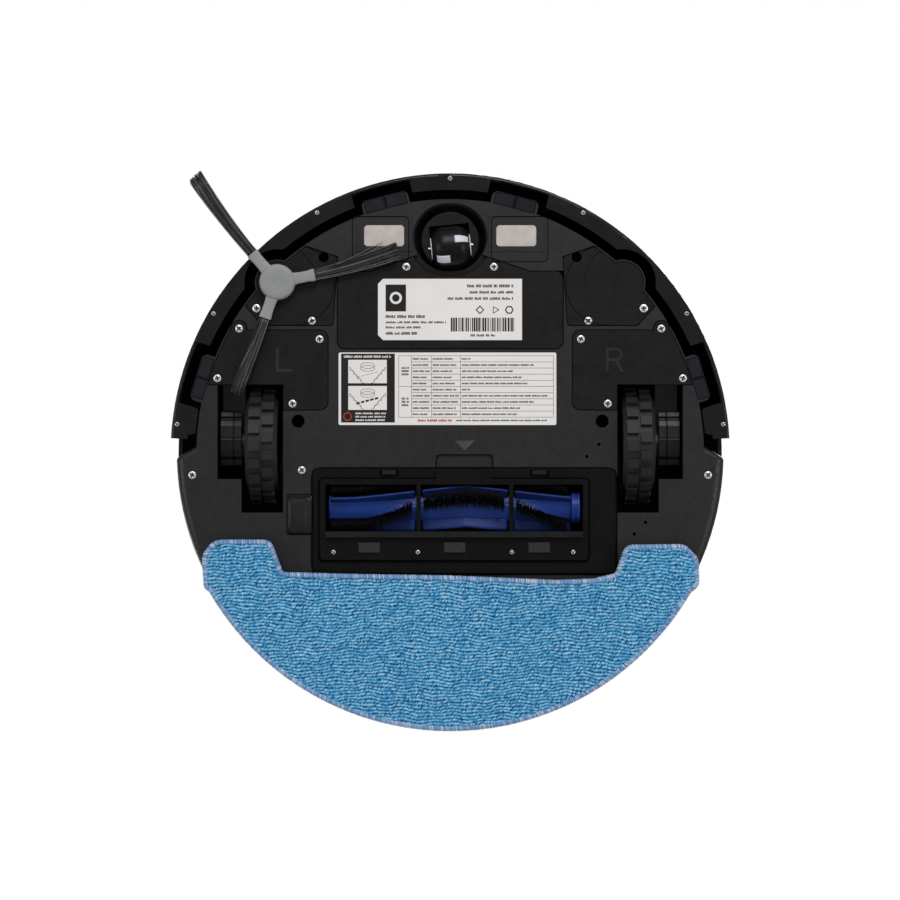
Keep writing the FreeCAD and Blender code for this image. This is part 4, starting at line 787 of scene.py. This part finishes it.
def side_brush_bristles():
    """Three tufts of filaments, each bent and spread in its own way."""
    dice = random.Random(11)
    shape = Shape()
    tufts = {
        -131: dict(reach=78.5, bend=4.2, spread=4.2, strays=0),
        -11: dict(reach=73, bend=-4.4, spread=4.6, strays=9),
        109: dict(reach=69.5, bend=1.3, spread=3.3, strays=1),
    }
    for angle, look in tufts.items():
        turn = Matrix.Rotation(math.radians(angle), 4, "Z")
        for number in range(TUFT_FILAMENTS):
            side = dice.uniform(-1, 1)
            layer = dice.uniform(-1, 1)
            stray = number < look["strays"]
            end_side = side * look["spread"] * (1 + 0.06 * dice.gauss(0, 1)) + dice.gauss(0, 0.22)
            if stray:
                end_side += dice.choice((-1, 1)) * dice.uniform(2, 5)
            tip = look["reach"] + dice.uniform(-1.6, 0.6) - (dice.uniform(4, 16) if stray else 0)
            sway = look["bend"] * (1 + 0.08 * dice.gauss(0, 1))
            wobble = dice.gauss(0, 0.13)
            path = []
            for step in range(8):
                t = step / 7
                out = CLAMP_END + (tip - CLAMP_END) * t
                across = side * 2.9 * (1 - t) + end_side * t + sway * t * t
                across += wobble * math.sin(3 * t)
                height = 7.1 + layer * (0.75 + 0.25 * t) - 2.3 * t + 0.3 * dice.gauss(0, 0.15)
                spot = turn @ Vector((out, across, 0))
                path.append((HUB.x + spot.x, HUB.y + spot.y, height))
            radii = [0.26] * 7 + [0.16]
            # Each filament's random shade sets its tone; the palest are painted highlights.
            tube(path, radii, shape, 4, dice.random() ** 1.6)
    shape.piece(
        "side_brush_filaments", "side_brush", "bristle", "bristle", replaces=["side_brush_bristles"]
    )


def side_brush_hub():
    """A domed hub with three clamps that grip the tufts."""
    shape = Shape()
    centre = Matrix.Translation((HUB.x, HUB.y, 0))
    rim = [(0.01, 4.75), (2.3, 4.75), (2.5, 4.55), (3.1, 4.5), (6.5, 4.4), (9.0, 4.55), (10.1, 5.1),
           (10.5, 6.0), (10.5, 9.4), (10.0, 9.8), (0.01, 9.8)]
    lathe(rim, centre, shape, 48)
    sections = [(7.5, 4.2, 5.2, 8.9), (10.5, 3.6, 5.3, 8.9), (13, 3.35, 5.35, 8.8),
                (18, 3.3, 5.4, 8.8), (20.2, 3.6, 5.2, 9.0), (22.4, 3.7, 5.2, 9.0)]
    steps, squareness = 16, 0.45
    for arm in ARM_ANGLES:
        turn = centre @ Matrix.Rotation(math.radians(arm), 4, "Z")
        points = []
        for out, half, low, high in sections:
            middle, tall = (low + high) / 2, (high - low) / 2
            for angle in circle(steps):
                c, s = math.cos(angle), math.sin(angle)
                across = half * math.copysign(abs(c) ** squareness, c)
                height = middle + tall * math.copysign(abs(s) ** squareness, s)
                points.append(turn @ Vector((out, across, height)))
        shape.add(points, wall(len(sections), steps))
    shaft = [(0.01, 9.0), (3.2, 9.0), (3.2, 17.4), (2.8, 17.8), (0.01, 17.8)]
    lathe(shaft, centre, shape, 24)
    made = shape.piece(
        "side_brush_spider", "side_brush", "brush_grey", "hub", replaces=["side_brush_hub"]
    )
    fix_normals(made, 40)


side_brush_bristles()
side_brush_hub()


# ---------------------------------------------------------------- main brush

AXIS_Y, AXIS_Z = 32.4, 16.5
BRUSH_HALF = 71.3
BRUSH_CORE = 7.0
BRUSH_MIDDLE = 9
RIBS = (-18.5, 35.9)
RIB_GAP = 2.2
THIRDS = (0, 120, 240)
ROW_PITCH = 1.75
ROW_HAIRS = 46


def on_brush(x, angle, radius):
    """A point on the main brush: the angle is from straight down, towards the front."""
    angle = math.radians(angle)
    return (x, AXIS_Y - radius * math.sin(angle), AXIS_Z - radius * math.cos(angle))


def vane_angle(x):
    """The turn of a rubber vane's foot along the brush, in degrees."""
    return 32 + 44 * (1 - min(1, abs(x - BRUSH_MIDDLE) / 71)) ** 1.4


def bristle_angle(x):
    """The turn of a bristle row along the brush, in degrees."""
    return max(-58, 30 - 80 * (abs(x - BRUSH_MIDDLE) / 56) ** 1.7)


def clear_of_ribs(x):
    """Whether a place along the brush misses the guard's two ribs."""
    return all(abs(x - rib) > RIB_GAP for rib in RIBS)


def stretches(low, high):
    """The lengths of brush between the guard's ribs."""
    return [(low, RIBS[0] - RIB_GAP), (RIBS[0] + RIB_GAP, RIBS[1] - RIB_GAP), (RIBS[1] + RIB_GAP, high)]


def brush_core():
    """The moulded core, which swells at the foot of each vane and bristle row."""
    steps, rings = 48, 120
    points = []
    for ring in range(rings + 1):
        x = -BRUSH_HALF + 2 * BRUSH_HALF * ring / rings
        feet = [(vane_angle(x) + third, 16, 1.3) for third in THIRDS]
        feet += [(bristle_angle(x) + third, 13, 1.0) for third in THIRDS]
        for step in range(steps):
            angle = 360 * step / steps
            swell = 0.0
            for centre, wide, tall in feet:
                gap = (angle - centre + 180) % 360 - 180
                swell = max(swell, tall * math.exp(-((gap / wide) ** 2)))
            points.append(on_brush(x, angle, BRUSH_CORE + swell))
    shape = Shape()
    shape.add(points, wall(rings + 1, steps))
    made = shape.piece(
        "brush_core_moulding", "main_brush", "brush_blue", "core", replaces=["main_brush_core"]
    )
    fix_normals(made)


def brush_vanes():
    """Three curved rubber vanes, cut where the guard's ribs run."""
    section = [(6.8, -1.3), (9, -0.85), (12.6, -0.6), (13.9, -0.75), (14.2, 0), (13.9, 0.75),
               (12.6, 0.6), (9, 0.85), (6.8, 1.3)]
    shape = Shape()
    for low, high in stretches(-BRUSH_HALF + 1, BRUSH_HALF - 0.3):
        count = max(8, int((high - low) / 1.5))
        for third in THIRDS:
            points = []
            for number in range(count + 1):
                x = low + (high - low) * number / count
                ripple = 0.12 * math.sin(x * 1.9)
                for radius, thick in section:
                    lean = math.degrees((thick + ripple) / radius) - (radius - BRUSH_CORE) * 1.1
                    points.append(on_brush(x, vane_angle(x) + third + lean, radius))
            shape.add(points, wall(count + 1, len(section)))
    made = shape.piece(
        "brush_vanes_moulding", "main_brush", "brush_blue_rubber", "vane", replaces=["main_brush_vanes"]
    )
    fix_normals(made)


def brush_bristles():
    """Three rows of bristle tufts, each hair with its own lean."""
    dice = random.Random(3)
    shape = Shape()
    for third in THIRDS:
        x = -BRUSH_HALF + 2.5
        while x < BRUSH_HALF - 2:
            if clear_of_ribs(x - 1.2) and clear_of_ribs(x + 1.2):
                centre = bristle_angle(x) + third
                spread = 19 + 11 * max(0, 1 - abs(x - BRUSH_MIDDLE) / 40)
                for _ in range(ROW_HAIRS):
                    slide = dice.uniform(-1.0, 1.0)
                    lean = dice.uniform(-1, 1) * spread
                    end_x = x + slide * 1.25
                    if not clear_of_ribs(end_x):
                        end_x = x
                    tall = 15 - dice.uniform(0, 1.2)
                    path = [
                        on_brush(x + slide * 0.5, centre + lean * 0.3, 7.2),
                        on_brush(x + slide * 0.9, centre + lean * 0.6, 11),
                        on_brush(end_x, centre + lean, tall),
                    ]
                    tube(path, [0.24, 0.22, 0.15], shape, 3, 0)
            x += ROW_PITCH
    shape.piece(
        "brush_bristle_rows", "main_brush", "bristle", "brush_hair", replaces=["main_brush_bristles"]
    )


def brush_cap():
    """The grooved cap on the brush's right end."""
    shape = Shape()
    turn = Matrix.Translation((BRUSH_HALF, AXIS_Y, AXIS_Z)) @ Matrix.Rotation(math.pi / 2, 4, "Y")
    profile = [(0.01, 0), (9.0, 0), (9.5, 0.5), (9.5, 1.6), (8.8, 1.9), (8.8, 3.2), (9.5, 3.5),
               (9.5, 4.5), (9.0, 5), (3.4, 5), (3.2, 4.6), (0.01, 4.6)]
    lathe(profile, turn, shape, 48)
    made = shape.piece(
        "brush_end_cap", "main_brush", "brush_blue", "core", replaces=["main_brush_end_cap"]
    )
    fix_normals(made, 35)


brush_core()
brush_vanes()
brush_bristles()
brush_cap()


# ---------------------------------------------------------------- labels and marks

CHASSIS_Z = 11
PAPER_Z = 10.85
PRINT = 0.05


def print_bar(shape, x0, y0, x1, y1, layer=1):
    """A flat bar of print on the paper, or on the print below it for a later layer."""
    bar(x0, y0, x1, y1, PAPER_Z - layer * PRINT, PAPER_Z - (layer - 1) * PRINT, shape)


def words(shape, x0, x1, y, tall, dice, mark=0.8, layer=1):
    """A line of print as small strokes grouped like words; it spells nothing."""
    x, low = x0, PAPER_Z - layer * PRINT
    while x < x1 - 1:
        long = dice.uniform(2.5, 6.5)
        end = min(x + long, x1)
        while x < end - mark * 0.5:
            wide = dice.uniform(0.55, 1.0) * mark
            trim = dice.choice((0, 0, 0, tall * 0.3))
            bar(x, y - tall / 2 + trim, x + wide * 0.72, y + tall / 2, low, low + PRINT, shape)
            x += wide
        x += mark * 0.9


def rating_print():
    """The battery door's label: its paper, greeked lines, a bar pattern and plain marks."""
    dice = random.Random(17)
    dark = Shape()
    print_bar(dark, -38, -99.1, -26, -83.3)
    lines = [(10, 37.6, -98.3, 1.7, 1.0), (11.5, 37.6, -94.6, 1.5, 0.95), (-1.5, 37.6, -90.9, 1.5, 0.95),
             (-38, -14, -80.3, 1.7, 1.0), (-38, -2, -76.9, 1.2, 0.8), (-38, -17, -73.9, 1.2, 0.8),
             (-38, -19, -70.4, 1.6, 0.8)]
    for x0, x1, y, tall, mark in lines:
        words(dark, x0, x1, y, tall, dice, mark)
    x = 0.4
    while x < 37.6:
        wide = dice.choice((0.35, 0.35, 0.7, 1.0))
        print_bar(dark, x, -79.6, min(x + wide, 37.8), -71.5)
        x += wide + dice.choice((0.35, 0.35, 0.7))
    words(dark, 12, 27, -69.2, 1.3, dice, 0.9)
    for x, corners in ((17.5, 4), (26.5, 3), (34.8, 6)):
        arc_mark(dark, x, -84.2, 2.6, 1.8, 0, 360, corners=corners)
    low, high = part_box("rating_label")
    x0, y0, x1, y1 = low.x / MM, low.y / MM, high.x / MM, high.y / MM
    cut = 3
    outline = [(x0 + cut, y0), (x1, y0), (x1, y1), (x0 + cut, y1), (x0, y1 - cut), (x0, y0 + cut)]
    paper = Shape()
    prism(outline, low.z / MM, high.z / MM, paper)
    made = paper.piece(
        "rating_label_paper", "battery_door", "label_paper", "paper", False, ["rating_label"]
    )
    fix_normals(made)
    dark.piece("rating_label_print", "battery_door", "label_paper", "ink", smooth=False)
    pale = Shape()
    arc_mark(pale, -32, -91.2, 3.6, 2.2, 0, 360, PAPER_Z - 2 * PRINT)
    pale.piece("rating_label_mark", "battery_door", "label_paper", "paper", smooth=False)


def arc_mark(shape, x, y, outer, inner, start, end, low=PAPER_Z - PRINT, corners=30):
    """A flat ring or arc of print, or the outline of a shape with few corners."""
    turns = [math.radians(start + (end - start) * i / corners) for i in range(corners + 1)]
    far = [(x + outer * math.cos(t), y + outer * math.sin(t)) for t in turns]
    near = [(x + inner * math.cos(t), y + inner * math.sin(t)) for t in reversed(turns)]
    prism(far + near, low, low + PRINT, shape)


def stroke(shape, x0, y0, x1, y1, wide, low):
    """A straight line of print."""
    first, last = Vector((x0, y0)), Vector((x1, y1))
    along = (last - first).normalized() * wide / 2
    across = Vector((-along.y, along.x))
    ends = [first - across, first + across, last + across, last - across]
    prism([tuple(p) for p in ends], low, low + PRINT, shape)


def strokes(shape, line, wide, low):
    """Straight lines of print from point to point."""
    for (x0, y0), (x1, y1) in zip(line, line[1:]):
        stroke(shape, x0, y0, x1, y1, wide, low)


def stair_sketch(shape, top, marked):
    """A line drawing of a round machine at the head of some stairs."""
    low = PAPER_Z - 3 * PRINT
    middle = -48.6
    for drop in (0, 1.6):
        turns = [math.tau * step / 24 for step in range(25)]
        spots = [(middle + 4.2 * math.cos(t), top + 3.4 + drop + 1.7 * math.sin(t)) for t in turns]
        strokes(shape, spots, 0.22, low)
    for side in (-1, 1):
        x, y = middle + side * 10.6, top + 4.2
        stroke(shape, x, y, middle + side * 3.5, top + 12.8, 0.2, low)
        for step in range(4):
            end = (x - side * 2.2, y + 2.4)
            strokes(shape, [(x, y), (x - side * 0.2, y + 2.0), end], 0.2, low)
            x, y = end
    for step in range(5):
        x, y = middle - 6.6 + 2.7 * step, top - step * 0.7
        stroke(shape, x, y + 10.4, x + 2.0, y + 9.8, 1.1 if marked else 0.2, low)


def table_print():
    """The wide label: a table of greeked lines, a dark panel with two sketches, and a red line."""
    dice = random.Random(29)
    lines, panel, pale, red, sketch = Shape(), Shape(), Shape(), Shape(), Shape()
    left, second, right = -30.3, -22.8, 60.8
    headed = (0, 5)
    print_bar(panel, -64.2, -58.4, -32.6, -17.9)
    rows = [-57.2 + 3.62 * i for i in range(11)]
    for index, y in enumerate(rows):
        print_bar(lines, left if index in (0, 5, 10) else second, y - 0.1, right, y + 0.1)
    for x in (left, second, -10.9, 6, right):
        print_bar(lines, x - 0.1, rows[0], x + 0.1, rows[10])
    for index in range(10):
        y = rows[index] + 1.85
        heavy = 0.62 if index in headed else 0.52
        words(lines, -22.1, -11.6 - dice.uniform(0, 2), y, 0.95, dice, heavy)
        words(lines, -10.2, 5.2 - dice.uniform(0, 4), y, 0.95, dice, heavy)
        words(lines, 6.8, 12 if index in headed else 58 - dice.uniform(0, 22), y, 0.95, dice, heavy)
    for middle in (rows[2] + 1.8, rows[7] + 1.8):
        for step in (-1.9, 0, 1.9):
            words(lines, -28.6, -24.2, middle + step, 1.2, dice, 0.7)
    words(red, -19, 1.5, rows[10] + 1.9, 1.3, dice, 0.75)
    words(lines, 3.5, 57, rows[10] + 1.9, 0.9, dice, 0.55)
    words(pale, -62.6, -34.5, -56.7, 1.3, dice, 0.7, 2)
    for top, bottom, marked in ((-54.8, -41, False), (-39.4, -25.3, True)):
        print_bar(sketch, -60, top, -37.3, bottom, 2)
        stair_sketch(lines, top, marked)
    for step in range(3):
        words(pale, -55.8, -37.8, -23.3 + 2.0 * step, 1.0, dice, 0.6, 2)
    arc_mark(red, -60.4, -21.4, 2.6, 1.9, 0, 360, PAPER_Z - 2 * PRINT)
    for shape, name, look in (
        (lines, "print", "ink"),
        (panel, "panel", "ink"),
        (pale, "pale_print", "paper"),
        (sketch, "pictures", "paper"),
        (red, "red_print", "red_ink"),
    ):
        shape.piece(f"table_label_{name}", "chassis", "label_paper", look, smooth=False)


def side_letters():
    """The raised letters that tell left from right, lighter than the plate as painted sheen."""
    shape = Shape()
    top, bottom = -61.9, -47.7
    low, high = CHASSIS_Z - 0.25, CHASSIS_Z + 0.2
    bar(-102.6, top, -100.9, bottom, low, high, shape)
    bar(-100.9, bottom - 1.7, -92.2, bottom, low, high, shape)
    bar(91.6, top, 93.3, bottom, low, high, shape)
    turns = [math.radians(-90 + 15 * number) for number in range(13)]
    outer = [(97.6 + 4.1 * math.cos(t), -57.9 + 4.0 * math.sin(t)) for t in turns]
    inner = [(97.6 + 2.5 * math.cos(t), -57.9 + 2.4 * math.sin(t)) for t in reversed(turns)]
    bowl = [(93.3, top)] + outer + [(93.3, -53.9), (93.3, -55.5)] + inner + [(93.3, top + 1.6)]
    prism(bowl, low, high, shape)
    prism([(96.9, -53.9), (98.8, -53.9), (102.4, bottom), (100.4, bottom)], low, high, shape)
    made = shape.piece("side_letters", "chassis", "chassis_plastic", "mark", smooth=False)
    fix_normals(made)


def button_icons():
    """A power sign and a house outline, printed on the two top buttons."""
    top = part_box("power_button")[1].z / MM
    power, home = Shape(), Shape()
    x, y = -14, -92
    arc_mark(power, x, y, 3.2, 2.6, -50, 230, top)
    bar(x - 0.3, y - 4.2, x + 0.3, y - 0.4, top, top + PRINT, power)
    power.piece("power_icon", "power_button", "label_paper", "white", smooth=False)
    x = 14
    roof = [(x - 3.6, y - 0.4), (x, y - 3.8), (x + 3.6, y - 0.4)]
    walls = [(x - 2.5, y - 1.2), (x - 2.5, y + 2.8), (x + 2.5, y + 2.8), (x + 2.5, y - 1.2)]
    for line in (roof, walls):
        strokes(home, line, 0.6, top)
    home.piece("home_icon", "home_button", "label_paper", "white", smooth=False)


rating_print()
table_print()
side_letters()
button_icons()


# ---------------------------------------------------------------- caster roller

ROLLER = Vector((0.381, -121.319, 12.2))
ROLLER_TURN = math.radians(-5.6)
ROLLER_HALF = 11.2
ROLLER_RADIUS = 12.15


def beside_roller(along, across, drop):
    """A point given from the roller's middle: along its axle, to the rear, and down."""
    c, s = math.cos(ROLLER_TURN), math.sin(ROLLER_TURN)
    x, y = along * c - across * s, along * s + across * c
    return (ROLLER.x + x, ROLLER.y + y, ROLLER.z - drop)


def on_roller(along, angle, lift=0.0):
    """A point on the roller: along its axle, and by the angle from straight down to the rear."""
    edge = abs(along) / ROLLER_HALF
    radius = ROLLER_RADIUS - 4.2 * max(0, edge - 0.25) ** 2.6 / 0.75**2.6 + lift
    if edge > 0.96:
        radius -= 1.2 * (edge - 0.96) / 0.04
    turn = math.radians(angle)
    return beside_roller(along, radius * math.sin(turn), radius * math.cos(turn))


def roller_patch(low, high, start, end, shape):
    """A thin curved patch that lies on the roller."""
    cells = 8
    side = cells + 1
    points, faces = [], []
    for lift in (0.07, -0.1):
        for i in range(side):
            for j in range(side):
                along = low + (high - low) * i / cells
                points.append(on_roller(along, start + (end - start) * j / cells, lift))
    size = side * side
    for i in range(cells):
        for j in range(cells):
            a = i * side + j
            quad = (a, a + 1, a + side + 1, a + side)
            faces += [quad, tuple(size + k for k in reversed(quad))]
    rim = [j for j in range(cells)] + [i * side + cells for i in range(cells)]
    rim += [cells * side + j for j in range(cells, 0, -1)] + [i * side for i in range(cells, 0, -1)]
    faces += [(a, b, b + size, a + size) for a, b in zip(rim, rim[1:] + rim[:1])]
    shape.add(points, faces)


def caster_roller():
    """The roller's glossy barrel, with two pairs of white patches and a ring at each end."""
    body, marks = Shape(), Shape()
    rings, steps = 40, 64
    places = [-ROLLER_HALF + 2 * ROLLER_HALF * ring / rings for ring in range(rings + 1)]
    points = [on_roller(along, 360 * step / steps) for along in places for step in range(steps)]
    body.add(points, wall(rings + 1, steps))
    made = body.piece(
        "caster_barrel", "caster_roller", "roller_plastic", "roller", replaces=["caster_wheel"]
    )
    fix_normals(made)
    for turn in (0, 180):
        roller_patch(2.6, 10.4, -28 + turn, -7 + turn, marks)
        roller_patch(-8.7, -1.0, 28 + turn, 53 + turn, marks)
    section = [(11.15, 6.6), (11.75, 6.2), (11.75, 4.4), (11.15, 4.0)]
    steps = 48
    for side in (-1, 1):
        points = []
        for turn in circle(steps):
            for along, radius in section:
                across, drop = radius * math.sin(turn), radius * math.cos(turn)
                points.append(beside_roller(side * along, across, drop))
        marks.add(points, hoop(steps, len(section)))
    fix_normals(marks.piece("caster_speed_marks", "caster_roller", "roller_plastic", "white"))


caster_roller()


# ---------------------------------------------------------------- small raised and sunk details

CASING_TOP = 31


def casing(outline, side, x0, x1, drop, shape):
    """A slice of casing across a gearbox on one side: its lower edge moves down by a drop."""
    left, right = sorted((side * x0, side * x1))
    sideways([(y, z - drop if z < CASING_TOP else z) for y, z in outline], left, right, shape)


def gearbox_ribs():
    """The stepped casing of each drive gearbox that shows beside the wheel, with its neck."""
    outline = [(-24.8, 32), (-24.8, 24.6), (-24, 23.4), (-21.4, 22.6), (-20.9, 23.6), (-19.7, 23.4),
               (-19.2, 21), (-16, 19.6), (-9, 18.8), (-8.4, 19.3), (-7.8, 18.8), (-1.5, 19.4),
               (2.4, 20.8), (3, 22.6), (4.2, 23.2), (4.7, 22), (7.4, 23), (8.4, 25), (8.4, 32)]
    neck = [(-34, 31), (-34, 29.4), (-32.5, 28.2), (-27, 26.2), (-24.4, 26.6), (-24.4, 31)]
    for name, side in (("left", -1), ("right", 1)):
        shape = Shape()
        for x0, x1, drop in ((123.5, 127.9, 0), (127.7, 128.7, -0.9), (128.5, 136, 0.7)):
            casing(outline, side, x0, x1, drop, shape)
        for x0, x1, drop in ((127.9, 130.4, 0.5), (130.2, 135.2, 0)):
            casing(neck, side, x0, x1, drop, shape)
        made = shape.piece(f"{name}_gearbox_ribs", f"{name}_arm", "gear_plastic", "gear", smooth=False)
        fix_normals(made)
        bevel(made, 0.3)


def rounded_box(x0, y0, x1, y1, radius):
    """Corner points of a rectangle with rounded corners, from the low corner round."""
    line, steps = [], 6
    for x, y, start in ((x0, y0, 180), (x1, y0, 270), (x1, y1, 0), (x0, y1, 90)):
        cx, cy = x + (radius if x == x0 else -radius), y + (radius if y == y0 else -radius)
        for step in range(steps + 1):
            turn = math.radians(start + 90 * step / steps)
            line.append((cx + radius * math.cos(turn), cy + radius * math.sin(turn)))
    return line


def outline_strip(shape, line, wide, low, high):
    """A thin frame that follows a closed line, half inside and half outside it."""
    count = len(line)
    points, faces = [], []
    for index, here in enumerate(line):
        before, after = Vector(line[index - 1]), Vector(line[(index + 1) % count])
        along = (after - before).normalized()
        out = Vector((along.y, -along.x)) * wide / 2
        for spot in (Vector(here) + out, Vector(here) - out):
            points += [(spot.x, spot.y, low), (spot.x, spot.y, high)]
    for index in range(count):
        a, b = index * 4, (index + 1) % count * 4
        faces += [(a, b, b + 2, a + 2), (a + 1, a + 3, b + 3, b + 1)]
        faces += [(a, a + 1, b + 1, b), (a + 2, b + 2, b + 3, a + 3)]
    shape.add(points, faces)


def gearbox_bulge():
    """The brush motor's housing: a broad low barrel that lies along X, with rounded ends."""
    shape = Shape()
    x0, x1, y0, y1 = -96.2, -81.6, 24.4, 48.1
    middle, half = (y0 + y1) / 2, (y1 - y0) / 2
    across, along = 32, 28
    points, faces = [], []
    for i in range(across + 1):
        y = y0 + (y1 - y0) * i / across
        crown = math.sqrt(max(0.0, 1 - ((y - middle) / half) ** 2))
        for j in range(along + 1):
            x = x0 + (x1 - x0) * j / along
            end = math.sqrt(1 - max(0.0, 1 - (x - x0) / 3.5) ** 2)
            step = 0.35 if x > x1 - 3.2 else 0.0
            points.append((x, y, 11.1 - (2.3 + step) * crown * end))
    for i in range(across):
        for j in range(along):
            a = i * (along + 1) + j
            faces.append((a, a + along + 1, a + along + 2, a + 1))
    rim = [i * (along + 1) for i in range(across + 1)]
    rim += [across * (along + 1) + j for j in range(1, along + 1)]
    rim += [i * (along + 1) + along for i in range(across - 1, -1, -1)]
    rim += list(range(along - 1, 0, -1))
    floor_first = len(points)
    points += [(points[k][0], points[k][1], 11.9) for k in rim]
    size = len(rim)
    for k in range(size):
        after = (k + 1) % size
        faces.append((rim[k], rim[after], floor_first + after, floor_first + k))
    faces.append(tuple(floor_first + k for k in range(size)))
    shape.add(points, faces)
    fix_normals(shape.piece("brush_motor_barrel", "chassis", "chassis_plastic", "cover"), 40)


def underside_marks():
    """The guard's arrow, the raised latch pads, and near-black painted shade: outlines of gaps, plates
    behind the latch pads, dish arcs and the rims of the guard's pads.
    """
    raised, dark, arrow = Shape(), Shape(), Shape()
    prism([(2.6, -7.2), (14.4, -7.2), (8.5, -1.4)], 10.85, 11.1, arrow)
    fix_normals(arrow.piece("guard_arrow", "chassis", "chassis_plastic", "arrow", smooth=False))
    # Thin near-black strips of painted shade: round the finger tab, along the cover dishes, behind the
    # latch pads, and along the guard, brush frame and battery door seams.
    outline_strip(dark, rounded_box(-8.3, 1.1, 25.1, 11.4, 3), 0.6, 10.9, 11.05)
    for side in (-1, 1):
        start = -80 if side < 0 else 85
        arc_mark(dark, side * 91.7, -98.8, 23.7, 23.3, start, start + 175, 10.95)
    for x0, x1 in ((-41.6, -30.3), (46.8, 58.3)):
        bar(x0, 9.9, x1, 13.9, 9.35, 9.65, dark)
        pad = [(x0 + 1.7, 10.3), (x1 - 1.7, 10.3), (x1 - 1.7, 12.6), (x0 + 1.7, 12.6)]
        prism(pad, 8.9, 9.4, raised)
    outline_strip(dark, rounded_box(-77.2, 14.8, 81.8, 63.9, 2.6), 0.9, 9.45, 9.62)
    outline_strip(dark, rounded_box(-81.5, 8.8, 98.0, 71.6, 6), 0.9, 10.6, 11.05)
    for side in (-1, 1):
        left, right = sorted((side * 24.4, side * 57.6))
        outline_strip(dark, rounded_box(left, -139.2, right, -112.6, 3), 0.45, 10.85, 11.02)
    # Painted shade round the rim of each of the guard's pads.
    rims = Shape()
    for x in (-47.6, 2.7, 52.3):
        outline_strip(rims, rounded_box(x - 5.4, 52.1, x + 5.4, 58.9, 1.2), 0.35, 7.4, 7.63)
    fix_normals(rims.piece("guard_pad_rim_shade", "brush_guard", "chassis_plastic", "gap", smooth=False))
    for shape, name, look in ((raised, "raised_marks", "cover"), (dark, "painted_gap_shade", "gap")):
        made = shape.piece(f"underside_{name}", "chassis", "chassis_plastic", look, smooth=False)
        fix_normals(made)


def sensor_bars():
    """The ridge across the middle of each cliff sensor, and the lip round it, both near-black as painted
    shade in the seams.
    """
    shape = Shape()
    for angle in (-73.2, -14.5, 14.5, 73.2):
        t = math.radians(angle)
        out, along = Vector((math.sin(t), -math.cos(t))), Vector((math.cos(t), math.sin(t)))

        def spot(a, b):
            p = out * (152.5 + a) + along * b
            return (p.x, p.y)

        ridge = [spot(-3.8, -0.35), spot(3.8, -0.35), spot(3.8, 0.35), spot(-3.8, 0.35)]
        prism(ridge, 10.8, 11.05, shape)
        for side in (-1, 1):
            low, high = sorted((side * 0.9, side * 12.0))
            line = [spot(b, a) for a, b in rounded_box(low, -3.3, high, 3.3, 0.9)]
            outline_strip(shape, line, 0.22, 10.88, 11.02)
    made = shape.piece("cliff_sensor_ridges", "chassis", "chassis_plastic", "gap", smooth=False)
    fix_normals(made)


gearbox_ribs()
gearbox_bulge()
underside_marks()
sensor_bars()
for name in ("left_tyre", "right_tyre"):
    bevel(nodes[name], 0.35)


# ---------------------------------------------------------------- floor, light and camera


def floor():
    """A white sheet under the machine that can't be seen from below, and fades with distance."""
    mesh = bpy.data.meshes.new("floor")
    far, level = 6.0, -0.0008
    corners = [(-far, -far, level), (far, -far, level), (far, far, level), (-far, far, level)]
    mesh.from_pydata(corners, [], [(0, 1, 2, 3)])
    thing = bpy.data.objects.new("floor", mesh)
    bpy.context.scene.collection.objects.link(thing)
    made = Maker("floor_paper")
    cloud = made.noise(400, 3)
    white = made.ramp(cloud, (0.3, tone(236, 236, 237)), (0.7, tone(243, 243, 243)))
    made.set(Base_Color=white, Roughness=0.9)
    output = made.tree.nodes["Material Output"]
    clear = made.add("ShaderNodeBsdfTransparent")
    behind = made.add("ShaderNodeNewGeometry").outputs["Backfacing"]
    reach = made.add("ShaderNodeVectorMath", {0: made.place}, operation="LENGTH").outputs["Value"]
    faded = made.math("MAXIMUM", behind, made.scaled(reach, 0.35, 1.3, 0, 1))
    both = made.add("ShaderNodeMixShader", {0: faded, 1: made.shader.outputs[0], 2: clear.outputs[0]})
    made.tree.links.new(both.outputs[0], output.inputs["Surface"])
    mesh.materials.append(made.material)
    for ray in ("shadow", "diffuse", "glossy", "transmission"):
        setattr(thing, f"visible_{ray}", False)


def area_light(name, place, size, power):
    """A square light that faces the middle of the machine."""
    light = bpy.data.lights.new(name, "AREA")
    light.shape = "RECTANGLE"
    light.size = light.size_y = size
    light.energy = power
    thing = bpy.data.objects.new(name, light)
    thing.location = place
    thing.rotation_euler = (-Vector(place)).to_track_quat("-Z", "Y").to_euler()
    thing.visible_camera = False
    bpy.context.scene.collection.objects.link(thing)


def sky():
    """White to the camera, dim grey to everything else, so that black plastic stays black."""
    world = bpy.data.worlds.new("studio")
    bpy.context.scene.world = world
    world.use_nodes = True
    tree = world.node_tree
    background = tree.nodes["Background"]
    seen = tree.nodes.new("ShaderNodeLightPath").outputs["Is Camera Ray"]
    strength = tree.nodes.new("ShaderNodeMapRange")
    tree.links.new(seen, strength.inputs[0])
    strength.inputs[3].default_value = 0.32
    strength.inputs[4].default_value = 1.0
    tree.links.new(strength.outputs[0], background.inputs["Strength"])
    background.inputs["Color"].default_value = (1, 1, 1, 1)


def camera():
    """Looks straight up at the underside, as far off as a person would hold a camera."""
    lens = bpy.data.cameras.new("camera")
    lens.lens = 101.7
    lens.sensor_width = 36
    lens.clip_end = 30
    thing = bpy.data.objects.new("camera", lens)
    thing.location = (-0.0001, -0.0017, -1.486)
    thing.rotation_euler = (math.pi, 0, 0)
    bpy.context.scene.collection.objects.link(thing)
    bpy.context.scene.camera = thing


floor()
sky()
area_light("below_front", (0.2, -1.5, -1.5), 1.0, 23)
area_light("below_left", (-1.4, 0.0, -1.1), 0.7, 5)
area_light("below_right", (1.4, 0.1, -1.1), 0.7, 5)
area_light("above_key", (0.9, -1.2, 2.0), 1.4, 38)
area_light("above_fill", (-1.6, 1.2, 1.7), 1.4, 26)
camera()
bpy.context.scene.view_settings.view_transform = "Standard"
bpy.context.scene.view_settings.look = "None"
